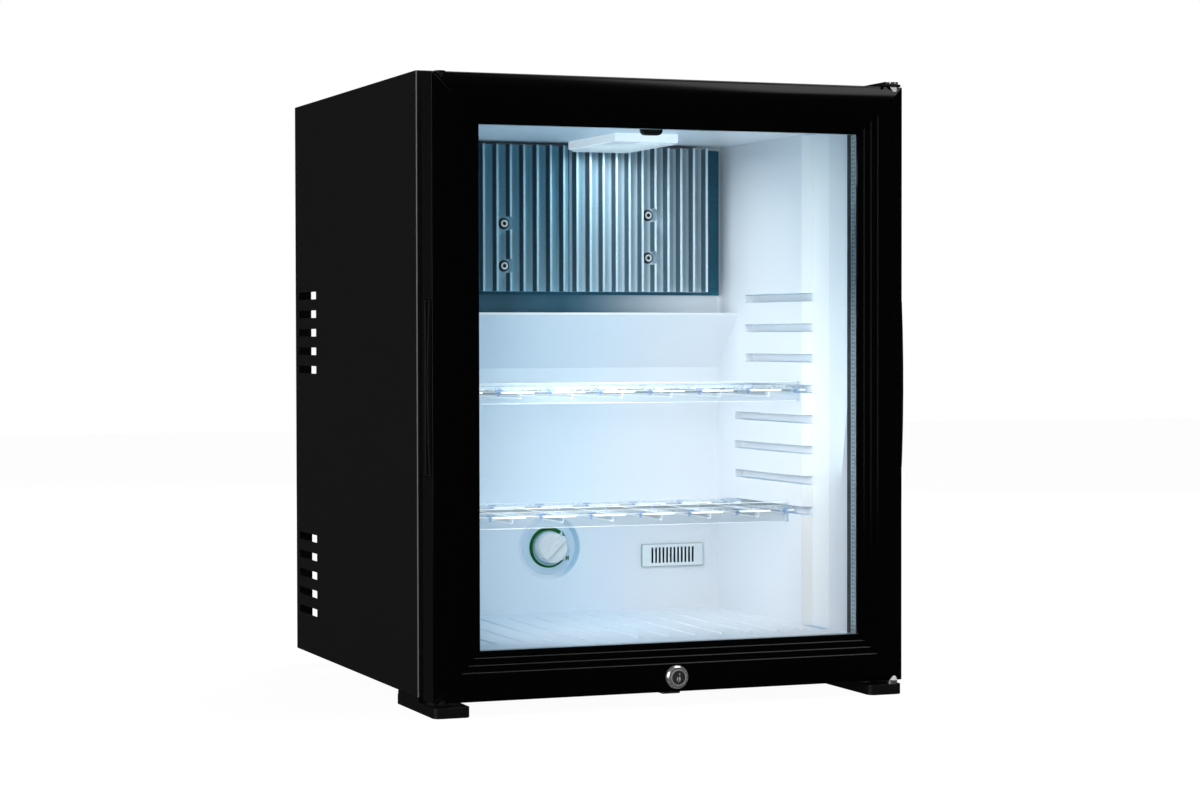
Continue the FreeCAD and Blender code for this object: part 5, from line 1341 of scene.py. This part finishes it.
class FRIDGE_OT_thermostat(bpy.types.Operator):
    """Dresses the dial, its printed scale with L and H, and the knob"""

    bl_idname = "fridge.thermostat"
    bl_label = "Thermostat"

    def execute(self, context):
        sizes = context.scene.fridge_sizes
        dress("dial_disc", "thermostat_dial", sizes.small_edge, material="dial_plate")
        dress("dial_knob", "thermostat_knob", sizes.moulded_edge, material="dial_grip")
        coat("thermostat_body")
        low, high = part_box("dial_scale")
        centre = (0.0, (low.z + high.z) / 2.0)
        work = bmesh.new()
        tapered_scale(work, centre, (high.z - low.z) / 2.0, low.y, high.y)
        tall, thin = sizes.letter_height / 2.0, sizes.letter_stroke
        wide = tall * 0.72
        low_mark = ((-wide, thin - wide, -tall, tall), (thin - wide, wide, -tall, thin - tall))
        high_mark = ((-wide, thin - wide, -tall, tall), (wide - thin, wide, -tall, tall),
                     (thin - wide, wide - thin, -thin / 2.0, thin / 2.0))
        letter(work, low_mark, (0.0146, centre[1] + 0.0118), low.y, high.y)
        letter(work, high_mark, (0.0178, centre[1] - 0.0102), low.y, high.y)
        mesh = to_mesh(work, "dial_print")
        add_piece("dial_print", mesh, body_of("dial_scale"), slot_of("dial_scale"), ("dial_scale",))
        return {"FINISHED"}


class FRIDGE_OT_sensor(bpy.types.Operator):
    """Dresses the slotted sensor cover and the sensor behind it"""

    bl_idname = "fridge.sensor"
    bl_label = "Sensor"

    def execute(self, context):
        sizes = context.scene.fridge_sizes
        dress("sensor_cover", "sensor_grille", sizes.small_edge, material="slotted_cover")
        coat("temperature_sensor")
        # A dark sheet behind the slots: painted shade, so the pale liner does not show through them.
        low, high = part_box("sensor_grille")
        left, right = low.x + SHADE_SHEET_SIDE, high.x - SHADE_SHEET_SIDE
        bottom, top = low.z + SHADE_SHEET_END, high.z - SHADE_SHEET_END
        front = high.y + SHADE_SHEET_GAP
        work = bmesh.new()
        prism(work, ((left, bottom), (right, bottom), (right, top), (left, top)), front, front + SHADE_SHEET_THICK)
        mesh = to_mesh(work, "sensor_filter")
        add_piece("sensor_filter", mesh, "cabinet", "black_plastic", material="filter_felt")
        return {"FINISHED"}


class FRIDGE_OT_shelves(bpy.types.Operator):
    """Dresses the two clear shelves"""

    bl_idname = "fridge.shelves"
    bl_label = "Shelves"

    def execute(self, context):
        sizes = context.scene.fridge_sizes
        dress("clear_shelf_upper", "shelf_upper", sizes.shelf_edge)
        dress("clear_shelf_lower", "shelf_lower", sizes.shelf_edge)
        return {"FINISHED"}


class FRIDGE_OT_cooling_unit(bpy.types.Operator):
    """Dresses the absorption unit behind the cabinet"""

    bl_idname = "fridge.cooling_unit"
    bl_label = "Cooling unit"

    def execute(self, context):
        sizes = context.scene.fridge_sizes
        coat("condenser_tube", "condenser_fins", "absorber_tubes", "absorber_vessel")
        dress("unit_jacket", "boiler_jacket", sizes.moulded_edge)
        dress("unit_straps_rear", "unit_straps", sizes.small_edge)
        return {"FINISHED"}


class FRIDGE_OT_terminals(bpy.types.Operator):
    """Dresses the terminal box and its inlet"""

    bl_idname = "fridge.terminals"
    bl_label = "Terminals"

    def execute(self, context):
        sizes = context.scene.fridge_sizes
        dress("terminal_cover", "terminal_box", sizes.moulded_edge)
        dress("terminal_inlet", "power_inlet", sizes.small_edge)
        return {"FINISHED"}


OPERATORS = (
    FRIDGE_OT_stage, FRIDGE_OT_cabinet, FRIDGE_OT_liner, FRIDGE_OT_door_frame, FRIDGE_OT_glazing,
    FRIDGE_OT_gasket, FRIDGE_OT_handles, FRIDGE_OT_lock, FRIDGE_OT_hinges, FRIDGE_OT_feet,
    FRIDGE_OT_cooling_plate, FRIDGE_OT_lamp, FRIDGE_OT_thermostat, FRIDGE_OT_sensor, FRIDGE_OT_shelves,
    FRIDGE_OT_cooling_unit, FRIDGE_OT_terminals,
)


class FRIDGE_PT_sidebar(bpy.types.Panel):
    """Lists the fridge's settings and its steps"""

    bl_idname = "FRIDGE_PT_sidebar"
    bl_label = "Fridge"
    bl_space_type = "VIEW_3D"
    bl_region_type = "UI"
    bl_category = "Fridge"

    def draw(self, context):
        layout = self.layout
        for operator in OPERATORS:
            layout.operator(operator.bl_idname)
        for group in (context.scene.fridge_finishes, context.scene.fridge_sizes, context.scene.fridge_studio):
            box = layout.box()
            for name in group.__annotations__:
                box.prop(group, name)


GROUPS = (FridgeFinishes, FridgeSizes, FridgeStudio)


def register():
    for group in (*GROUPS, *OPERATORS, FRIDGE_PT_sidebar):
        bpy.utils.register_class(group)
    bpy.types.Scene.fridge_finishes = PointerProperty(type=FridgeFinishes)
    bpy.types.Scene.fridge_sizes = PointerProperty(type=FridgeSizes)
    bpy.types.Scene.fridge_studio = PointerProperty(type=FridgeStudio)


def unregister():
    del bpy.types.Scene.fridge_studio
    del bpy.types.Scene.fridge_sizes
    del bpy.types.Scene.fridge_finishes
    for group in reversed((*GROUPS, *OPERATORS, FRIDGE_PT_sidebar)):
        bpy.utils.unregister_class(group)


def main():
    register()
    bpy.ops.fridge.stage()
    bpy.ops.fridge.cabinet()
    bpy.ops.fridge.liner()
    bpy.ops.fridge.door_frame()
    bpy.ops.fridge.glazing()
    bpy.ops.fridge.gasket()
    bpy.ops.fridge.handles()
    bpy.ops.fridge.lock()
    bpy.ops.fridge.hinges()
    bpy.ops.fridge.feet()
    bpy.ops.fridge.cooling_plate()
    bpy.ops.fridge.lamp()
    bpy.ops.fridge.thermostat()
    bpy.ops.fridge.sensor()
    bpy.ops.fridge.shelves()
    bpy.ops.fridge.cooling_unit()
    bpy.ops.fridge.terminals()


if __name__ == "__main__":
    main()
